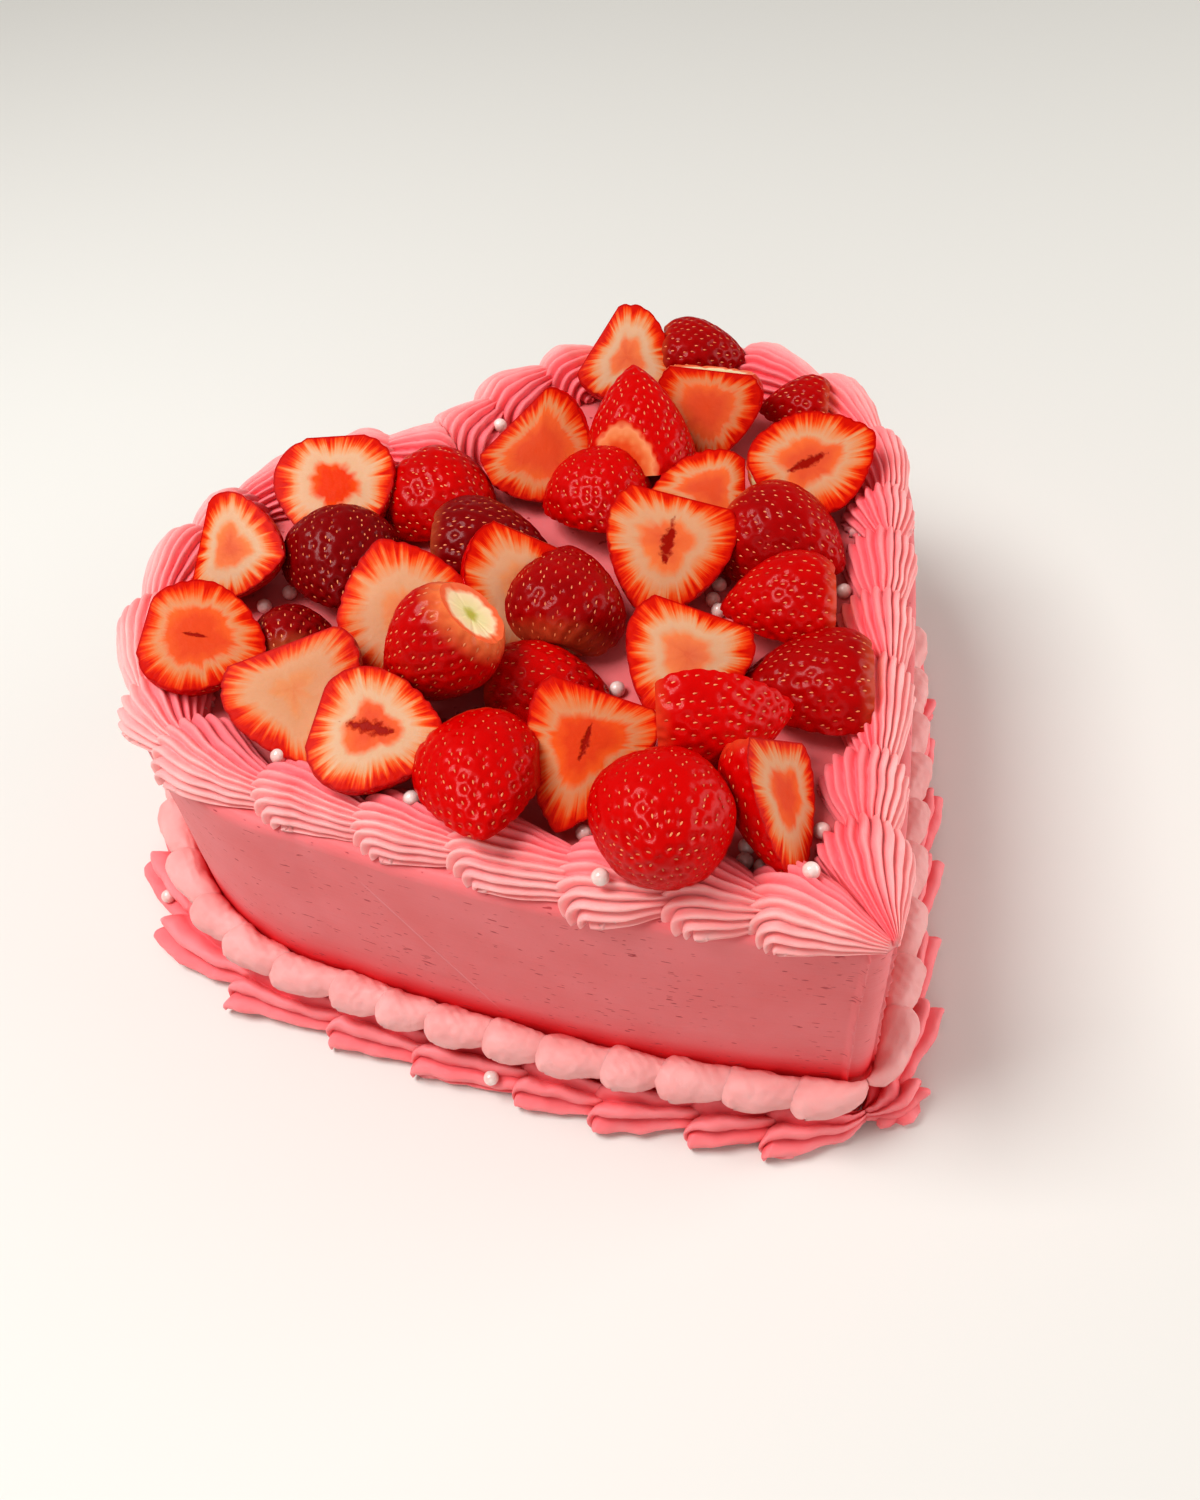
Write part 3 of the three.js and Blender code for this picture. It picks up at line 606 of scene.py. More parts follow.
# %% [markdown]
# The strawberries: most are cut in half, and a few are whole. Each lies along its own X axis with
# its stem end first, and a half has its cut face up, towards its own Z. Then it is rolled, dipped,
# turned and put in its place. The list goes over the left half of the heart and then the right one,
# each roughly from front to back. A row holds the place on the top and the lift over it, the three
# turns, the length and the width, and the share of the length where it is widest.
#
# The rest is how it looks. ripe is how dark the skin is, core how big the orange middle of the flesh
# is, warmth how red it is, pale how creamy the rest is and shoulder how pale the skin is round the
# leaves, all from 0 to 1. slit is how wide and long the hollow in the core is, and cut the share of the
# length that was cut off with the leaves. One strawberry has lost a slice from its round: slice is the
# way that it came off to, and how far from the middle.

# %% Where each strawberry lies
ROWS = [
    ((-29, -107, 20), (-125, 30, -175), (32, 32), 0.44, dict(whole=True, ripe=0.2)),
    ((-46, -36, 21), (158, -45, -50), (34, 27), 0.38, dict(whole=True, ripe=0.35, cut=0.07, shoulder=0.7)),
    ((-31, -77, 14), (-145, -30, -15), (37, 29), 0.28, dict(core=0.52, warmth=0.85, pale=0.35, slit=0.5)),
    ((-54, -71, 12), (-115, 15, 180), (38, 30), 0.36, dict(ripe=0.2)),
    ((-67, -48, 18), (-45, -5, 20), (33, 31), 0.38,
     dict(core=0.42, warmth=0.8, pale=0.9, slit=0.9, cut=0.03)),
    ((-25, -47, 2), (-35, 0, 175), (33, 28), 0.4, dict(ripe=0.2)),
    ((-78.5, -26, 16), (-100, -25, 10), (34, 35), 0.34, dict(core=0.3, warmth=0.05, pale=0.5)),
    ((-70, 6, 2), (70, -5, 180), (26, 24), 0.4, dict(ripe=0.7, cut=0.02)),
    ((-8, -28, 9), (50, 22, -175), (31, 32), 0.4, dict(ripe=0.6, cut=0.02)),
    ((-18, -26, 15.5), (-140, -20, -30), (40, 34), 0.36, dict(core=0.4, warmth=0.1, pale=0.6)),
    ((-45, -15, 19), (80, 25, -5), (36, 35), 0.42, dict(core=0.36, warmth=0.2, pale=0.6, cut=0.03)),
    ((-14, 1, 8), (-35, 0, 175), (33, 30), 0.38, dict(ripe=0.8)),
    ((-13, 28, 4), (-70, 5, -175), (34, 32), 0.38, dict(ripe=0.3)),
    ((-90, 6, 16), (-35, -15, 20), (31, 31), 0.44,
     dict(core=0.56, warmth=0.8, pale=0.45, slit=0.3, cut=0.03)),
    ((-49, 19, 6), (-115, 5, 180), (32, 33), 0.4, dict(ripe=1.0)),
    ((-71, 33, 15), (-50, 5, 35), (29, 31), 0.34, dict(core=0.4, warmth=0.6, pale=0.9)),
    ((-40, 39, 15), (-120, -25, 0), (35, 34), 0.4, dict(core=0.38, warmth=1.0, pale=0.9, cut=0.03)),
    ((-2, -114, 14), (-115, -30, -50), (36, 27), 0.3, dict(core=0.45, warmth=0.8, pale=0.6)),
    ((-1, -86, 16), (-25, 0, -90), (36, 32), 0.34, dict(ripe=0.1)),
    ((27, -84, 4), (145, 0, -170), (36, 32), 0.34, dict(ripe=0.5)),
    ((3, -67, 14), (-145, -25, -15), (34, 30), 0.34, dict(core=0.42, warmth=0.5, pale=0.8)),
    ((36, -61, 8), (145, 0, -170), (31, 30), 0.4, dict(ripe=0.3)),
    ((20, -33, 15), (-140, -30, -15), (37, 33), 0.34, dict(core=0.42, warmth=0.6, pale=0.6, slit=0.8)),
    ((52, -41, 5), (-70, 5, -175), (35, 35), 0.4, dict(ripe=0.5)),
    ((43, -16, 12), (150, 5, -30), (28, 23), 0.4, dict(core=0.55, warmth=0.7, pale=0.6)),
    ((20, -1, 8), (-105, 10, 180), (31, 30), 0.4, dict(ripe=0.25)),
    ((15, 20, 14), (-70, -30, 30), (32, 33), 0.34, dict(core=0.6, warmth=0.75, pale=0.5)),
    ((71, -27, 16), (-10, 10, 30), (36, 30), 0.5, dict(core=0.5, warmth=0.7, pale=0.6, slit=0.75, cut=0.03)),
    ((39.5, 10.5, 15), (63, 50, 0), (38, 32), 0.32,
     dict(whole=True, ripe=0.2, cut=0.2, slice=(-0.72, -0.47, 0.515, 11.8))),
    ((61, 9, 14), (-135, -60, 10), (29, 31), 0.34, dict(core=0.6, warmth=0.7, pale=0.5)),
    ((79, 39, 8), (-40, 0, 175), (28, 25), 0.4, dict(ripe=0.6)),
    ((58, 44, 13), (-60, -20, 35), (30, 30), 0.34, dict(core=0.4, warmth=0.6, pale=0.9)),
    ((88, 3, 6), (140, 0, -175), (22, 22), 0.34, dict(ripe=0.5)),
]
STRAWBERRIES = [{"at": at, "turn": turn, "size": size, "wide": wide, **looks}
                for at, turn, size, wide, looks in ROWS]
print(len(STRAWBERRIES), "strawberries,", sum("whole" in looks for *_, looks in ROWS), "of them whole")

# %% [markdown]
# A strawberry is a turned shape, round at the shoulders and tapering to the tip, a little lumpy, and
# thinner one way. Its achenes, the little yellow seeds, sit in pits. They are laid out as on the real
# fruit, each a golden angle further round and spaced so that every one has the same share of skin.

# %% A strawberry's round and where its achenes sit
LEAF_CUT = 0.1
THICKNESS = 0.95
SEED_SPACING = 3.0
SEED_MARGIN = 1.2
GOLDEN = math.pi * (3 - math.sqrt(5))


def berry_width(share, wide):
    """Half the width at shares of the length from the stem, against the widest: a round shoulder
    (1 - (1 - s)^2.4)^(1/2.4), then a cone (1 - s^1.6)^0.74 that rounds off at the tip."""
    shoulder = np.clip(1 - np.abs(1 - share / wide) ** 2.4, 0, 1) ** (1 / 2.4)
    cone = np.clip(1 - np.clip((share - wide) / (1 - wide), 0, 1) ** 1.6, 0, 1) ** 0.74
    return np.where(share < wide, shoulder, cone)


def round_of(berry, share, angle, seed):
    """Points on the round at shares of the length and angles about it, with three slow lumps."""
    length, width = berry["size"]
    phase = np.random.default_rng(seed).uniform(0, 2 * np.pi, 3)
    lumpy = 1 + 0.03 * np.sin(2 * angle + phase[0]) + 0.022 * np.sin(3 * angle + 3 * share + phase[1])
    lumpy = lumpy + 0.012 * np.sin(5 * angle - 5 * share + phase[2]) - 0.01
    half = width / 2 * berry_width(share, berry["wide"]) * lumpy
    return np.stack([(share - 0.5) * length + 0 * half, half * np.cos(angle),
                     THICKNESS * half * np.sin(angle)], -1)


def ways_out(points):
    """Outward directions of a strawberry's round, near enough for its pits and seeds."""
    ways = points * [0.55, 1, 1]
    return ways / np.maximum(np.linalg.norm(ways, axis=-1, keepdims=True), 1e-6)


def seed_places(berry, seed):
    """Shares and angles of the achenes, a golden angle apart with equal shares of the skin. The last
    field tells which ones are clear of the cuts."""
    length, width = berry["size"]
    first = berry.get("cut", LEAF_CUT)
    share = np.linspace(first, 1, 300)
    profile = berry_width(share, berry["wide"])
    area = np.cumsum(profile * np.hypot(length / 300, width / 2 * np.gradient(profile)))
    number = round(2 * np.pi * width / 2 * area[-1] / SEED_SPACING**2)
    steps = (np.arange(number) + 0.5) / number
    draw = np.random.default_rng(seed + 90)
    places = np.interp(steps * area[-1], area, share) + draw.uniform(-0.013, 0.013, number)
    angles = (np.arange(number) * GOLDEN + draw.uniform(-0.09, 0.09, number)) % (2 * np.pi)
    clear = (places > first + 0.04) & (places < 0.985)
    if not berry.get("whole"):
        spare = SEED_MARGIN / (width / 2)
        clear &= (angles > np.pi + spare) & (angles < 2 * np.pi - spare)
    return places, angles, clear


# One achene: a pointed drop of 24 faces, along X, with Z outwards
drop_row, drop_turn = np.meshgrid([-0.46, 0.0, 0.4], np.arange(6) * np.pi / 3, indexing="ij")
drop_wide = np.array([0.17, 0.24, 0.13])[:, None]
DROP_RINGS = np.stack([drop_row, drop_wide * np.cos(drop_turn), 0.6 * drop_wide * np.sin(drop_turn)], -1)
DROP_POINTS, DROP_FACES = closed_skins(DROP_RINGS[None], np.array([[-0.6, 0, 0]]), np.array([[0.7, 0, 0]]))
print("one achene has", sum(len(part) for part in DROP_FACES), "faces")

# %% [markdown]
# A half keeps the round below and gets a cut face, made of rings that shrink from its rim to its core,
# so that the flesh's streaks and rings can follow the shape of the cut. The flat end where the leaves
# were cut off is made the same way. The skin's own points sink round each achene, which makes its pit.

# %% Skin, cut face and stem end
PIT_DEPTH = 0.6
PIT_RADIUS = 0.95
SKIN_SWELL = 0.1
CORE_SHARE = 0.44
CUT_RINGS = [1, 0.985, 0.96, 0.92, 0.86, 0.78, 0.7, 0.62, 0.54, 0.46, 0.38, 0.3, 0.22, 0.14, 0.07]
CUT_DOME = np.array([0, 0, 0.7])
END_RINGS = [1, 0.9, 0.7, 0.5, 0.25]
END_HOLLOW = np.array([0.8, 0, 0])


def spin_of(berry):
    """The turning matrix that rolls, then dips, then turns a strawberry."""
    turn, dip, roll = (math.radians(a) for a in berry["turn"])
    spin = Matrix.Rotation(turn, 3, "Z") @ Matrix.Rotation(-dip, 3, "Y") @ Matrix.Rotation(roll, 3, "X")
    return np.array(spin)


def middle_of(berry):
    """Where the strawberry's middle is, on the heart's axes."""
    x, y, lift = berry["at"]
    return np.array([x, y, BODY_HEIGHT + lift])


def placed(berry, points):
    """Points of the strawberry as it was grown, spun and moved to its place on the cake."""
    return points @ spin_of(berry).T + middle_of(berry)


def cap(outline, middle, shares, dome, start):
    """A lid on a closed outline: rings at shares of the way from its middle, each moved by the dome
    times (1 - share squared). Gives its points, its faces and the points' shares."""
    size, count = len(shares), len(outline)
    spread = np.array(shares)[:, None, None]
    rings = middle + spread * (outline - middle) + dome * (1 - spread**2)
    points = np.concatenate([rings.reshape(-1, 3), (middle + dome)[None]])
    pole = start + size * count
    faces = [grid_faces(size, count, start), fan_faces(pole - count + np.arange(count), pole)]
    return points, [part[:, ::-1] for part in faces], np.append(np.repeat(shares, count), 0)


def strawberry(berry, seed):
    """Points, faces, kinds and the cut face's fields of one strawberry, on the heart's axes."""
    whole = berry.get("whole", False)
    first = berry.get("cut", LEAF_CUT)
    share = first + (1 - first) * (1 - (1 - np.linspace(0, 0.994, 70)) ** 1.5)
    columns = 150 if whole else 84
    angle = np.arange(columns) * 2 * np.pi / columns if whole else np.pi + np.linspace(0, np.pi, columns)
    grid = round_of(berry, share[:, None], angle[None], seed)
    places, angles, clear = seed_places(berry, seed)
    seeds = round_of(berry, places, angles, seed)
    distance = np.linalg.norm(grid[:, :, None] - seeds[None, None], axis=-1).min(-1)
    pit = PIT_DEPTH * np.exp(-((distance / PIT_RADIUS) ** 2)) - SKIN_SWELL
    grid = grid - ways_out(grid) * pit[..., None]
    tip = round_of(berry, np.array([1.0]), np.array([0.0]), seed)[0]

    skin = np.concatenate([grid.reshape(-1, 3), tip[None]])
    tip_number = len(skin) - 1
    last_row = tip_number - columns + np.arange(columns)
    faces = [grid_faces(len(share), columns, 0, whole), fan_faces(last_row, tip_number, whole)]
    kinds = [0, 0]
    points, rim, around = [skin], [np.ones(len(skin))], [np.zeros((len(skin), 2))]
    outline = grid[0]
    if not whole:
        steps = np.linspace(0, 1, 22)[1:-1, None]
        stem_edge = grid[0, 0] + steps * (grid[0, -1] - grid[0, 0])
        edge = np.concatenate([grid[:, -1], tip[None], grid[::-1, 0], stem_edge])
        core = np.array([(CORE_SHARE - 0.5) * berry["size"][0], 0, 0])
        cut, cut_faces, shares = cap(edge, core, CUT_RINGS, CUT_DOME, len(skin))
        # How far each point is round the rim, drawn as a circle that is as long as the rim
        length = np.concatenate([[0], np.cumsum(np.linalg.norm(np.diff(edge, axis=0), axis=1))])
        turn = 2 * np.pi * length / (length[-1] + np.linalg.norm(edge[0] - edge[-1]))
        circle = length[-1] / (2 * np.pi) * np.stack([np.cos(turn), np.sin(turn)], -1)
        around.append(np.concatenate([np.tile(circle, (len(CUT_RINGS), 1)), [[0, 0]]]))
        points.append(cut)
        faces += cut_faces
        kinds += [1, 1]
        rim.append(shares)
        outline = np.concatenate([grid[0], stem_edge[::-1]])

    # The stem end, slightly hollow, from the outline of the cut in to its middle
    start = sum(len(part) for part in points)
    end, end_faces, shares = cap(outline, outline.mean(0), END_RINGS, END_HOLLOW, start)
    around.append(np.zeros((len(end), 2)))
    return {
        "points": placed(berry, np.concatenate([*points, end])),
        "faces": faces + end_faces,
        "kinds": kinds + [2, 2],
        "rim": np.concatenate([*rim, shares]),
        "share": np.append(np.repeat(share, columns), 1),
        "around": np.concatenate(around),
        "skin": placed(berry, skin),
        "seeds": (places[clear], angles[clear]),
    }


shapes = [strawberry(berry, number) for number, berry in enumerate(STRAWBERRIES)]
print("the largest strawberry has", max(len(shape["points"]) for shape in shapes), "points")

# %% [markdown]
# Where two strawberries press together, the later one in the list gives way, which is mostly the one
# behind. Of three hundred directions spread over a ball, the one in which they overlap least is found,
# and what of the later one reaches past a plane square to it, just clear of the earlier one, is pushed
# back onto that plane. Only a millimetre gives way like that. Where they overlap deeper, the one runs
# on into the other, out of sight; the plain solids are cut apart all the way.

# %% Press the strawberries together
MOST_PRESSED = 1.0
number = np.arange(300)
ways_up = 1 - (2 * number + 1) / 300
ways_flat = np.sqrt(1 - ways_up**2)
WAYS = np.stack([ways_flat * np.cos(number * GOLDEN), ways_flat * np.sin(number * GOLDEN), ways_up], -1)
REACHES = [shape["skin"][::3] @ WAYS.T for shape in shapes]
FURTHEST = np.array([reach.max(0) for reach in REACHES])
NEAREST = np.array([reach.min(0) for reach in REACHES])


def pressing_planes(number):
    """The planes that flatten one strawberry: for each earlier one that it touches, the way from that
    one to it and how far along this way the plane is."""
    overlap = FURTHEST[:number] - NEAREST[number]
    way = overlap.argmin(1)
    touching = overlap[np.arange(number), way] > -GAP
    earlier = np.arange(number)[touching]
    return [(WAYS[w], min(FURTHEST[e, w] + GAP, NEAREST[number, w] + MOST_PRESSED))
            for e, w in zip(earlier, way[touching])]


def pressed(points, planes):
    """The points, with those behind a plane moved straight up to it."""
    for way, distance in planes:
        points = points + way * np.maximum(distance - points @ way, 0)[..., None]
    return points


print("planes that press them:", sum(len(pressing_planes(n)) for n in range(len(shapes))))

# %% [markdown]
# A fresh strawberry's skin is thin, wet and glossy, from clear red to nearly black red where it is
# ripest. The light goes a little way in, so it glows. The ripeness is an attribute of each mesh, and
# so are its pale shoulder under the leaves and, on one, a place where a thin slice came off.

# %% Strawberry skin and achenes
def strawberry_skin():
    """Red by ripeness in slow patches, glossy, with a pale shoulder and a sliced place."""
    material, tree = new_material("wet strawberry skin")
    place = add(tree, "TexCoord").outputs["Object"]
    ripe, shoulder, sliced = (add(tree, "Attribute", attribute_name=name).outputs["Fac"]
                              for name in ("ripe", "shoulder", "sliced"))
    patches = add(tree, "TexNoise", {"Vector": place, "Scale": 70.0, "Detail": 3.0})
    shade = add(tree, "Math", {0: patches, 1: 0.5, 2: ripe}, operation="MULTIPLY_ADD")
    tone = add(tree, "ValToRGB", {"Fac": shade},
               stops=[(0.2, "#D20302"), (0.5, "#C40201"), (0.8, "#A20204"), (1.0, "#7E0206")])
    fine = add(tree, "TexNoise", {"Vector": place, "Scale": 420.0, "Detail": 3.0})
    streaky = add(tree, "Math", {0: fine, 1: 0.7}, operation="ADD")
    bare = add(tree, "Math", {0: shoulder, 1: streaky}, operation="MULTIPLY", use_clamp=True)
    tone = add(tree, "Mix", {0: bare, 6: tone, 7: linear("#EE8A52")}, data_type="RGBA")
    opened = add(tree, "ValToRGB", {"Fac": sliced},
                 stops=[(0.1, "#D82408"), (0.4, "#EE9A6C"), (0.65, "#E88652"), (1.0, "#DE5426")])
    within = add(tree, "MapRange", {"Value": sliced, "From Min": 0.0, "From Max": 0.12})
    tone = add(tree, "Mix", {0: within, 6: tone, 7: opened}, data_type="RGBA")
    wet = {"Roughness": 0.3, "IOR": 1.36, "Specular IOR Level": 0.14, "Coat Weight": 0.1,
           "Coat Roughness": 0.08}
    return finish(material, tone, wet, glow=(0.12, (1.0, 0.12, 0.08), 0.002), bump=(fine, 0.35, 0.0003))


def achene():
    """Dry seed coats, pale straw to orange."""
    material, tree = new_material("dry achene")
    place = add(tree, "TexCoord").outputs["Object"]
    patches = add(tree, "TexNoise", {"Vector": place, "Scale": 160.0})
    tone = add(tree, "ValToRGB", {"Fac": patches}, stops=[(0.35, "#C24A22"), (0.6, "#EE9A66")])
    return finish(material, tone, {"Roughness": 0.4})


# %% [markdown]
# Cut strawberry flesh is wet and lets light in deeply. Its middle is an orange core, sometimes with
# a hollow that is painted dark red for its shade, inside a cream ring. From there pale and red streaks
# run out to a thin red rim. rim is the share of the way from the core to the skin, and around is a
# circle as long as the rim, so a noise on it never meets its own end. The streaks push the rings'
# edges in and out.

# %% Strawberry flesh
RING_PLACES = (0.0, 0.56, 0.7, 0.8, 0.89, 0.96)
ORANGE_RINGS = ("#C4703E", "#CC7846", "#D66830", "#E04C14", "#DA2C06", "#C61403")
CREAMY_RINGS = ("#D29C74", "#D8B090", "#DE9A6C", "#E4662A", "#E2360A", "#CC1803")


def strawberry_flesh():
    """Rings of colour from core to rim, pushed in and out by streaks, and a torn hollow with painted shade.
    """
    material, tree = new_material("wet strawberry flesh")
    place = add(tree, "TexCoord").outputs["Object"]
    rim, core, warmth, pale = (add(tree, "Attribute", attribute_name=name).outputs["Fac"]
                               for name in ("rim", "core", "warmth", "pale"))
    around, hollow = (add(tree, "Attribute", attribute_name=name).outputs["Vector"]
                      for name in ("around", "hollow"))

    # Streaks about 1.5 mm apart, which hardly change on their way out, and slow patches
    streaks = add(tree, "TexNoise", {"Vector": around, "Scale": 0.62, "Detail": 3.0, "Roughness": 0.62})
    slow = add(tree, "TexNoise", {"Vector": place, "Scale": 150.0, "Detail": 3.0})
    sides = add(tree, "TexNoise", {"Vector": around, "Scale": 0.09, "Detail": 1.0})
    outer = add(tree, "MapRange", {"Value": rim, "From Min": 0.45, "From Max": 0.78, "To Max": 0.75})
    lean = add(tree, "Math", {0: streaks, 1: 0.5}, operation="SUBTRACT")
    uneven = rim
    for part, much in ((lean, outer), (slow, 0.3), (sides, 0.42)):
        uneven = add(tree, "Math", {0: part, 1: much, 2: uneven}, operation="MULTIPLY_ADD")
    share = add(tree, "Math", {0: uneven, 1: 0.36}, operation="SUBTRACT")
    orange, creamy = (add(tree, "ValToRGB", {"Fac": share}, stops=list(zip(RING_PLACES, colours)))
                      for colours in (ORANGE_RINGS, CREAMY_RINGS))
    tone = add(tree, "Mix", {0: pale, 6: orange, 7: creamy}, data_type="RGBA")
    edge_line = add(tree, "MapRange", {"Value": rim, "From Min": 0.955, "From Max": 0.99})
    tone = add(tree, "Mix", {0: edge_line, 6: tone, 7: linear("#B00603")}, data_type="RGBA")

    # The core: orange to red, redder inside, with a pale ring round it
    in_core = add(tree, "Math", {0: core, 1: share}, operation="SUBTRACT")
    edge = add(tree, "MapRange", {"Value": in_core, "From Min": -0.05, "From Max": 0.08})
    warm = add(tree, "MapRange", {"Value": warmth, "To Min": 0.2, "To Max": 1.0})
    strength = add(tree, "Math", {0: edge, 1: warm}, operation="MULTIPLY")
    deep = in_core
    for part, much in ((warmth, 0.5), (slow, 0.7)):
        deep = add(tree, "Math", {0: part, 1: much, 2: deep}, operation="MULTIPLY_ADD")
    core_tone = add(tree, "ValToRGB", {"Fac": deep},
                    stops=[(0.45, "#EE8024"), (0.7, "#EC600E"), (1.0, "#DC3A06")])
    tone = add(tree, "Mix", {0: strength, 6: tone, 7: core_tone}, data_type="RGBA")

    # The hollow: a lens with pointed ends, |y| + x squared < 1, ragged, dug in by the bump and painted dark
    # red inside as its shade
    own = add(tree, "SeparateXYZ", {"Vector": hollow})
    bow = add(tree, "Math", {0: own.outputs["Y"]}, operation="ABSOLUTE")
    span = add(tree, "Math", {0: own.outputs["X"], 1: own.outputs["X"], 2: bow}, operation="MULTIPLY_ADD")
    ragged = add(tree, "TexNoise", {"Vector": place, "Scale": 800.0, "Detail": 3.0})
    reach = add(tree, "Math", {0: ragged, 1: 2.2, 2: span}, operation="MULTIPLY_ADD")
    inside = add(tree, "MapRange", {"Value": reach, "From Min": 2.2, "From Max": 1.6})
    tone = add(tree, "Mix", {0: inside, 6: tone, 7: linear("#9A1606")}, data_type="RGBA")
    relief = add(tree, "TexNoise", {"Vector": place, "Scale": 500.0, "Detail": 3.0})
    for part, much in ((lean, outer), (inside, -2.0)):
        relief = add(tree, "Math", {0: part, 1: much, 2: relief}, operation="MULTIPLY_ADD")
    wet = {"Roughness": 0.4, "IOR": 1.36, "Specular IOR Level": 0.1}
    return finish(material, tone, wet, glow=(0.2, (1.0, 0.4, 0.2), 0.0012), bump=(relief, 0.5, 0.0004))


def stem_end():
    """Where the leaves were cut off: pale flesh, greener in the middle."""
    material, tree = new_material("cut stem end")
    place = add(tree, "TexCoord").outputs["Object"]
    rim = add(tree, "Attribute", attribute_name="rim").outputs["Fac"]
    slow = add(tree, "TexNoise", {"Vector": place, "Scale": 300.0, "Detail": 2.0})
    share = add(tree, "Math", {0: slow, 1: 0.3, 2: rim}, operation="MULTIPLY_ADD")
    tone = add(tree, "ValToRGB", {"Fac": share},
               stops=[(0.3, "#B9B24A"), (0.45, "#E9D9A0"), (0.85, "#F6D9B0"), (1.0, "#EE6A3A")])
    return finish(material, tone, {"Roughness": 0.4}, glow=(0.2, (1.0, 0.5, 0.3), 0.0015))


BERRY_MATERIALS = [strawberry_skin(), strawberry_flesh(), stem_end(), achene()]

# %% [markdown]
# Every strawberry's materials need a few numbers at its points. Most are the same all over it. The
# shoulder is pale from the stem to a fifth of the length, the slice is deepest in its middle, and the
# hollow is a lens about a point near the core, as wide and as long as slit says. An achene stands up
# from the bottom of its pit, with its length towards the tip, and is left out where a plane cut.

# %% Make the strawberries
SLICE_DEPTH = 3.2
SEED_LIFT = 0.22
HOLLOW_WIDTH = 0.065
HOLLOW_LENGTH = 0.24
HOLLOW_BACK = 0.06
USUAL = {"ripe": 0.25, "core": 0.4, "warmth": 0.5, "pale": 0.5}


def hollow_place(berry, points):
    """Where points lie about the hollow in the core: its edge is at a distance of 1 from its middle.
    Where there is none, they all lie far outside."""
    length, width = berry["size"]
    own = (points - middle_of(berry)) @ spin_of(berry)
    far = 0 if "slit" in berry else 9
    slit = berry.get("slit", 1)
    wide = HOLLOW_WIDTH * width * slit
    long = HOLLOW_LENGTH * length * (0.25 + 0.6 * slit)
    return np.stack([(own[:, 0] + HOLLOW_BACK * length) / long + far, own[:, 1] / wide, 0 * own[:, 0]], -1)


def slicing_plane(berry):
    """The plane that took a slice off the round: the way back to the middle and its distance."""
    *way, far = berry["slice"]
    way = -np.array(way) / np.linalg.norm(way)
    return way, middle_of(berry) @ way - far


def achenes_of(berry, shape, number, planes):
    """All the achenes of one strawberry, as an array of achene, point and place."""
    places, angles = shape["seeds"]
    at = round_of(berry, places, angles, number)
    out = ways_out(at)
    on = round_of(berry, places + 0.01, angles, number) - at
    on = on - out * np.einsum("ij,ij->i", on, out)[:, None]
    on = on / np.linalg.norm(on, axis=1, keepdims=True)
    at = at - out * (PIT_DEPTH - SEED_LIFT)
    kept = np.all([placed(berry, at) @ way > distance + GAP for way, distance in planes], axis=0)
    kept = np.broadcast_to(kept, len(at))
    axes = np.stack([on, np.cross(out, on), out], 1)[kept]
    return placed(berry, np.einsum("pi,nij->npj", DROP_POINTS, axes) + at[kept][:, None])


def after(values, count, rest):
    """The values, followed by as many of the rest as make up a count."""
    return np.append(values, np.full((count - len(values), *values.shape[1:]), rest), 0)


for number, (berry, shape) in enumerate(zip(STRAWBERRIES, shapes)):
    planes = pressing_planes(number)
    sliced = np.zeros(len(shape["points"]))
    if "slice" in berry:
        way, distance = slicing_plane(berry)
        planes.append((way, distance))
        sliced = np.clip((distance - shape["points"] @ way) / SLICE_DEPTH, 0, 1)
    body = pressed(shape["points"], planes)
    drops = achenes_of(berry, shape, number, planes)
    drop_faces = [part + len(body) for part in repeated(DROP_FACES, len(DROP_POINTS), len(drops))]
    points = np.concatenate([body, drops.reshape(-1, 3)])
    faces = shape["faces"] + drop_faces
    kinds = [np.full(len(part), kind) for part, kind in zip(faces, shape["kinds"] + [3, 3])]
    count = len(points)
    circle = after(shape["around"], count, 0.0)
    stem = np.clip((0.2 - shape["share"]) / 0.16, 0, 1)
    fields = {field: np.full(count, berry.get(field, usual)) for field, usual in USUAL.items()}
    fields |= {
        "rim": after(shape["rim"], count, 1.0),
        "shoulder": berry.get("shoulder", 0.3) * after(stem, count, 0.0),
        "sliced": after(sliced, count, 0.0),
        "around": np.column_stack([circle, np.full(count, number * 7.3)]),
        "hollow": after(hollow_place(berry, shape["points"]), count, 0.0),
    }
    name = f"strawberry_{number + 1:02d}"
    make_piece(f"{name}_fruit", points, faces, BERRY_MATERIALS, kinds=kinds,
               replaces=[name], slot="strawberry", fields=fields)

# %% [markdown]
# Sugar pearls are sugar balls with a shellac and pearl powder glaze: white, with a soft lustre that
# is a little pink here. A ray straight down finds the frosting under each, and it is sunk a little
# into the cream.

# %% Sugar pearls
PEARL_RADIUS = 2.0
PEARL_SINK = 0.5
PEARLS = np.array([
    (-63, 25), (-70.7, 23.9), (-88.2, -33.5), (-67.6, -62), (-37.8, -87.4), (-44, -106), (-9.8, -111),
    (-12.5, -114), (-10.2, -117.4), (6.4, -116.8), (-5.5, -128), (27.9, -42.3), (26.9, -46.4), (43.5, -25.5),
    (39.5, -29), (32.3, -38.8), (-9, -55), (-30, -29), (15, 48.5), (57, -59.3), (-75.1, -91.6),
    (-127.6, 11.6), (-55.6, 81.6), (113.4, 27.2),
])
FROSTED = ["frosted_heart"] + [f"{border[0]}_{side}" for side in ("left", "right") for border in BORDERS]
made_so_far = bpy.context.evaluated_depsgraph_get()
frosting = [BVHTree.FromObject(bpy.data.objects[name], made_so_far) for name in FROSTED]


def frosting_under(place):
    """The highest frosting under a place, in millimetres."""
    x, y = place * MM + MIDDLE[:2]
    hits = [tree.ray_cast(Vector((x, y, 0.2)), Vector((0, 0, -1)))[0] for tree in frosting]
    return max(hit.z for hit in hits if hit is not None) / MM


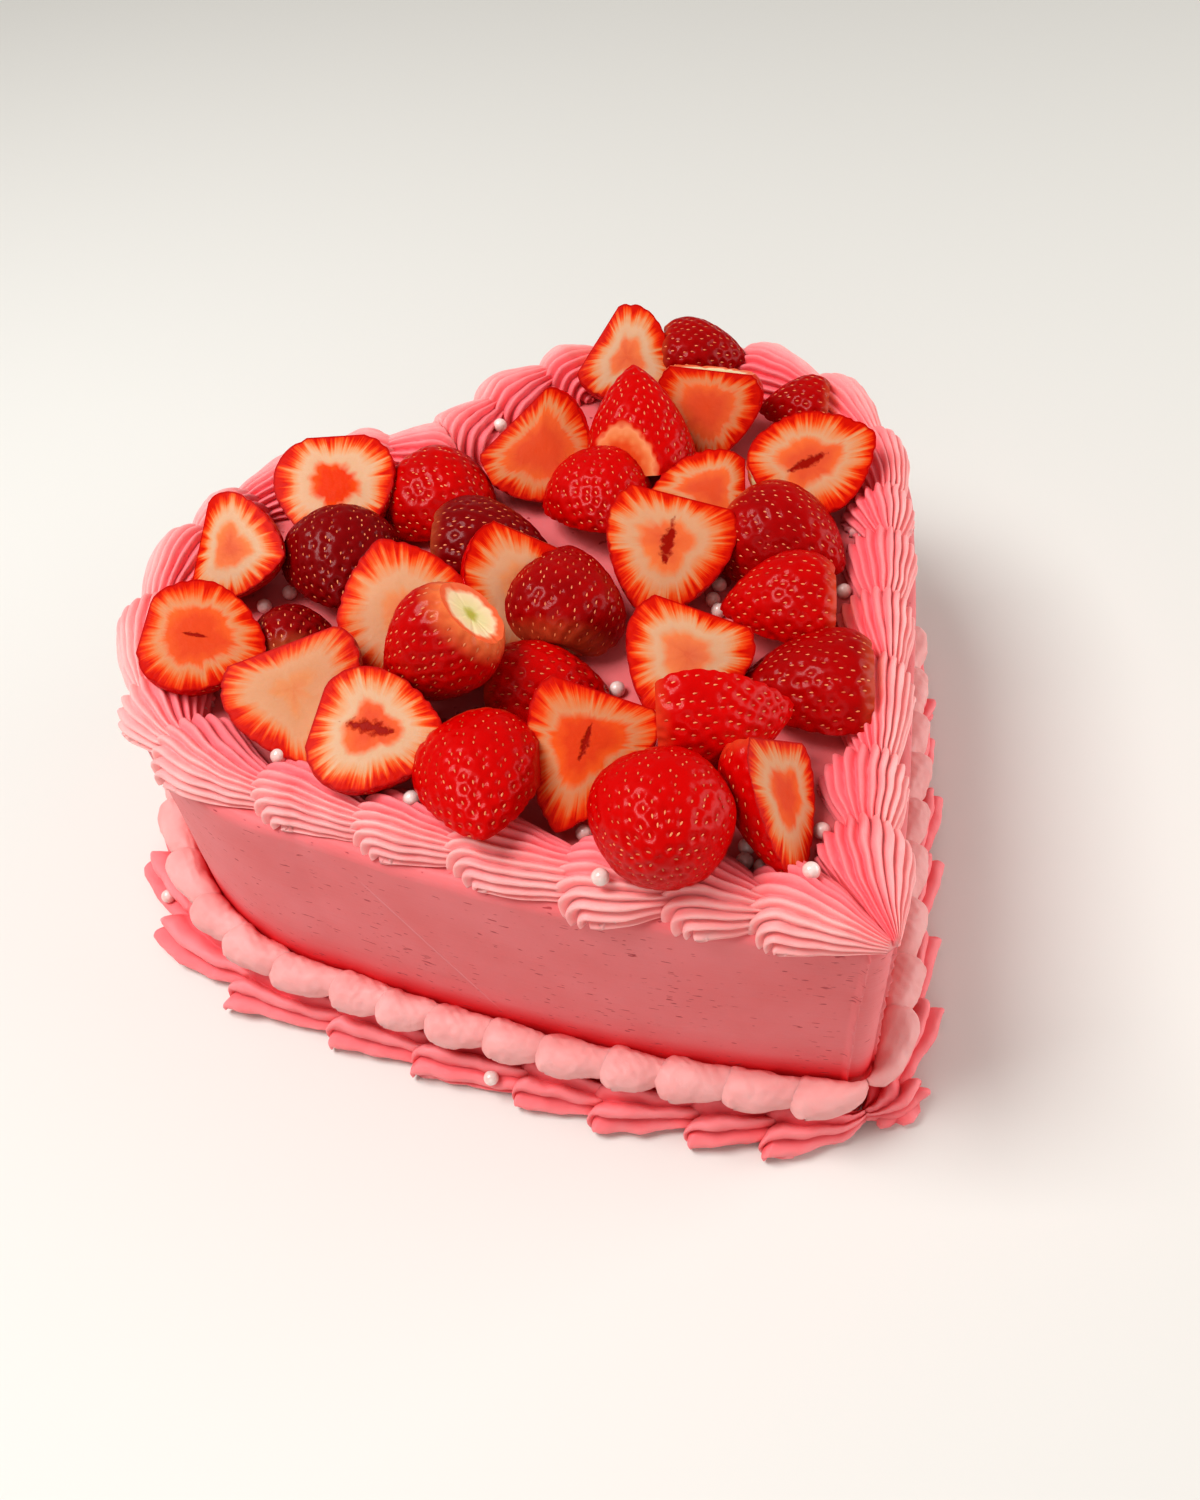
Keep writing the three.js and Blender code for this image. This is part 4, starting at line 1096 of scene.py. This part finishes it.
def sugar_pearl():
    """White glaze with a soft lustre: a thin coat over sugar that lets light in."""
    material, tree = new_material("pearl glazed sugar")
    place = add(tree, "TexCoord").outputs["Object"]
    clouds = add(tree, "TexNoise", {"Vector": place, "Scale": 420.0, "Detail": 2.0})
    tone = add(tree, "ValToRGB", {"Fac": clouds}, stops=[(0.35, "#E8C6BF"), (0.65, "#F4E0DA")])
    glaze = {"Roughness": 0.28, "Coat Weight": 0.6, "Coat Roughness": 0.1}
    return finish(material, tone, glaze, glow=(0.2, (1.0, 0.8, 0.7), 0.001))


tilt, turn = np.meshgrid(np.linspace(0, np.pi, 15)[1:-1], np.arange(22) * 2 * np.pi / 22, indexing="ij")
ball = np.stack([np.sin(tilt) * np.cos(turn), np.sin(tilt) * np.sin(turn), np.cos(tilt)], -1) * PEARL_RADIUS
heights = np.array([frosting_under(place) for place in PEARLS]) + PEARL_RADIUS - PEARL_SINK
middles = np.column_stack([PEARLS, heights])
up = np.array([0, 0, PEARL_RADIUS])
make_piece("sugar_pearls", *closed_skins(ball[None] + middles[:, None, None], middles + up, middles - up),
           [sugar_pearl()], slot="sugar_pearl")

# %% [markdown]
# The cake stands on a plain pale floor under a large soft light from above and the left, with weaker
# ones from the front and the right and an even pale surround, as in a small photo studio. The camera
# looks down from the front left of the heart.

# %% Floor, light and camera
scene = bpy.context.scene
FLOOR_REACH = 6.0
FLOOR_HEIGHT = -0.0002
floor_mesh = bpy.data.meshes.new("floor")
corners = [(x * FLOOR_REACH, y * FLOOR_REACH, FLOOR_HEIGHT) for x, y in ((-1, -1), (1, -1), (1, 1), (-1, 1))]
floor_mesh.from_pydata(corners, [], [(0, 1, 2, 3)])
floor = new_object("floor", floor_mesh)
paint = finish(new_material("matt pale paint")[0], linear("#E4E2DD"), {"Roughness": 0.85})
floor_mesh.materials.append(paint)


def soft_light(name, place, size, power):
    """A square white lamp that faces the cake."""
    light = bpy.data.lights.new(name, "AREA")
    light.shape = "SQUARE"
    light.size = size
    light.energy = power
    lamp = new_object(name, light)
    lamp.location = place
    lamp.rotation_euler = (Vector((0, 0, 0.05)) - Vector(place)).to_track_quat("-Z", "Y").to_euler()


soft_light("key light", (-0.45, 0.2, 1.0), 0.5, 8.6)
soft_light("fill light", (-0.7, -1.0, 0.7), 0.9, 2.3)
soft_light("side light", (1.0, -0.5, 0.3), 0.9, 7.5)
world = bpy.data.worlds.new("pale studio")
world.use_nodes = True
background = world.node_tree.nodes["Background"]
background.inputs["Color"].default_value = linear("#FBF8F2")
background.inputs["Strength"].default_value = 0.3
scene.world = world
scene.view_settings.view_transform = "Standard"
scene.view_settings.look = "Medium High Contrast"

CAMERA_PLACE = np.array([-112.16, -249.05, 327.34]) * MM + MIDDLE
CAMERA_RIGHT = Vector((0.8533, -0.5170, -0.0678)).normalized()
CAMERA_AHEAD = Vector((0.2837, 0.5693, -0.7716)).normalized()
camera_up = CAMERA_RIGHT.cross(CAMERA_AHEAD).normalized()
camera_data = bpy.data.cameras.new("camera")
camera_data.lens = 32.1
camera_data.sensor_width = 36
camera = new_object("camera", camera_data)
turned = Matrix((CAMERA_RIGHT, camera_up, -CAMERA_AHEAD)).transposed().to_4x4()
camera.matrix_world = Matrix.Translation(CAMERA_PLACE) @ turned
scene.camera = camera
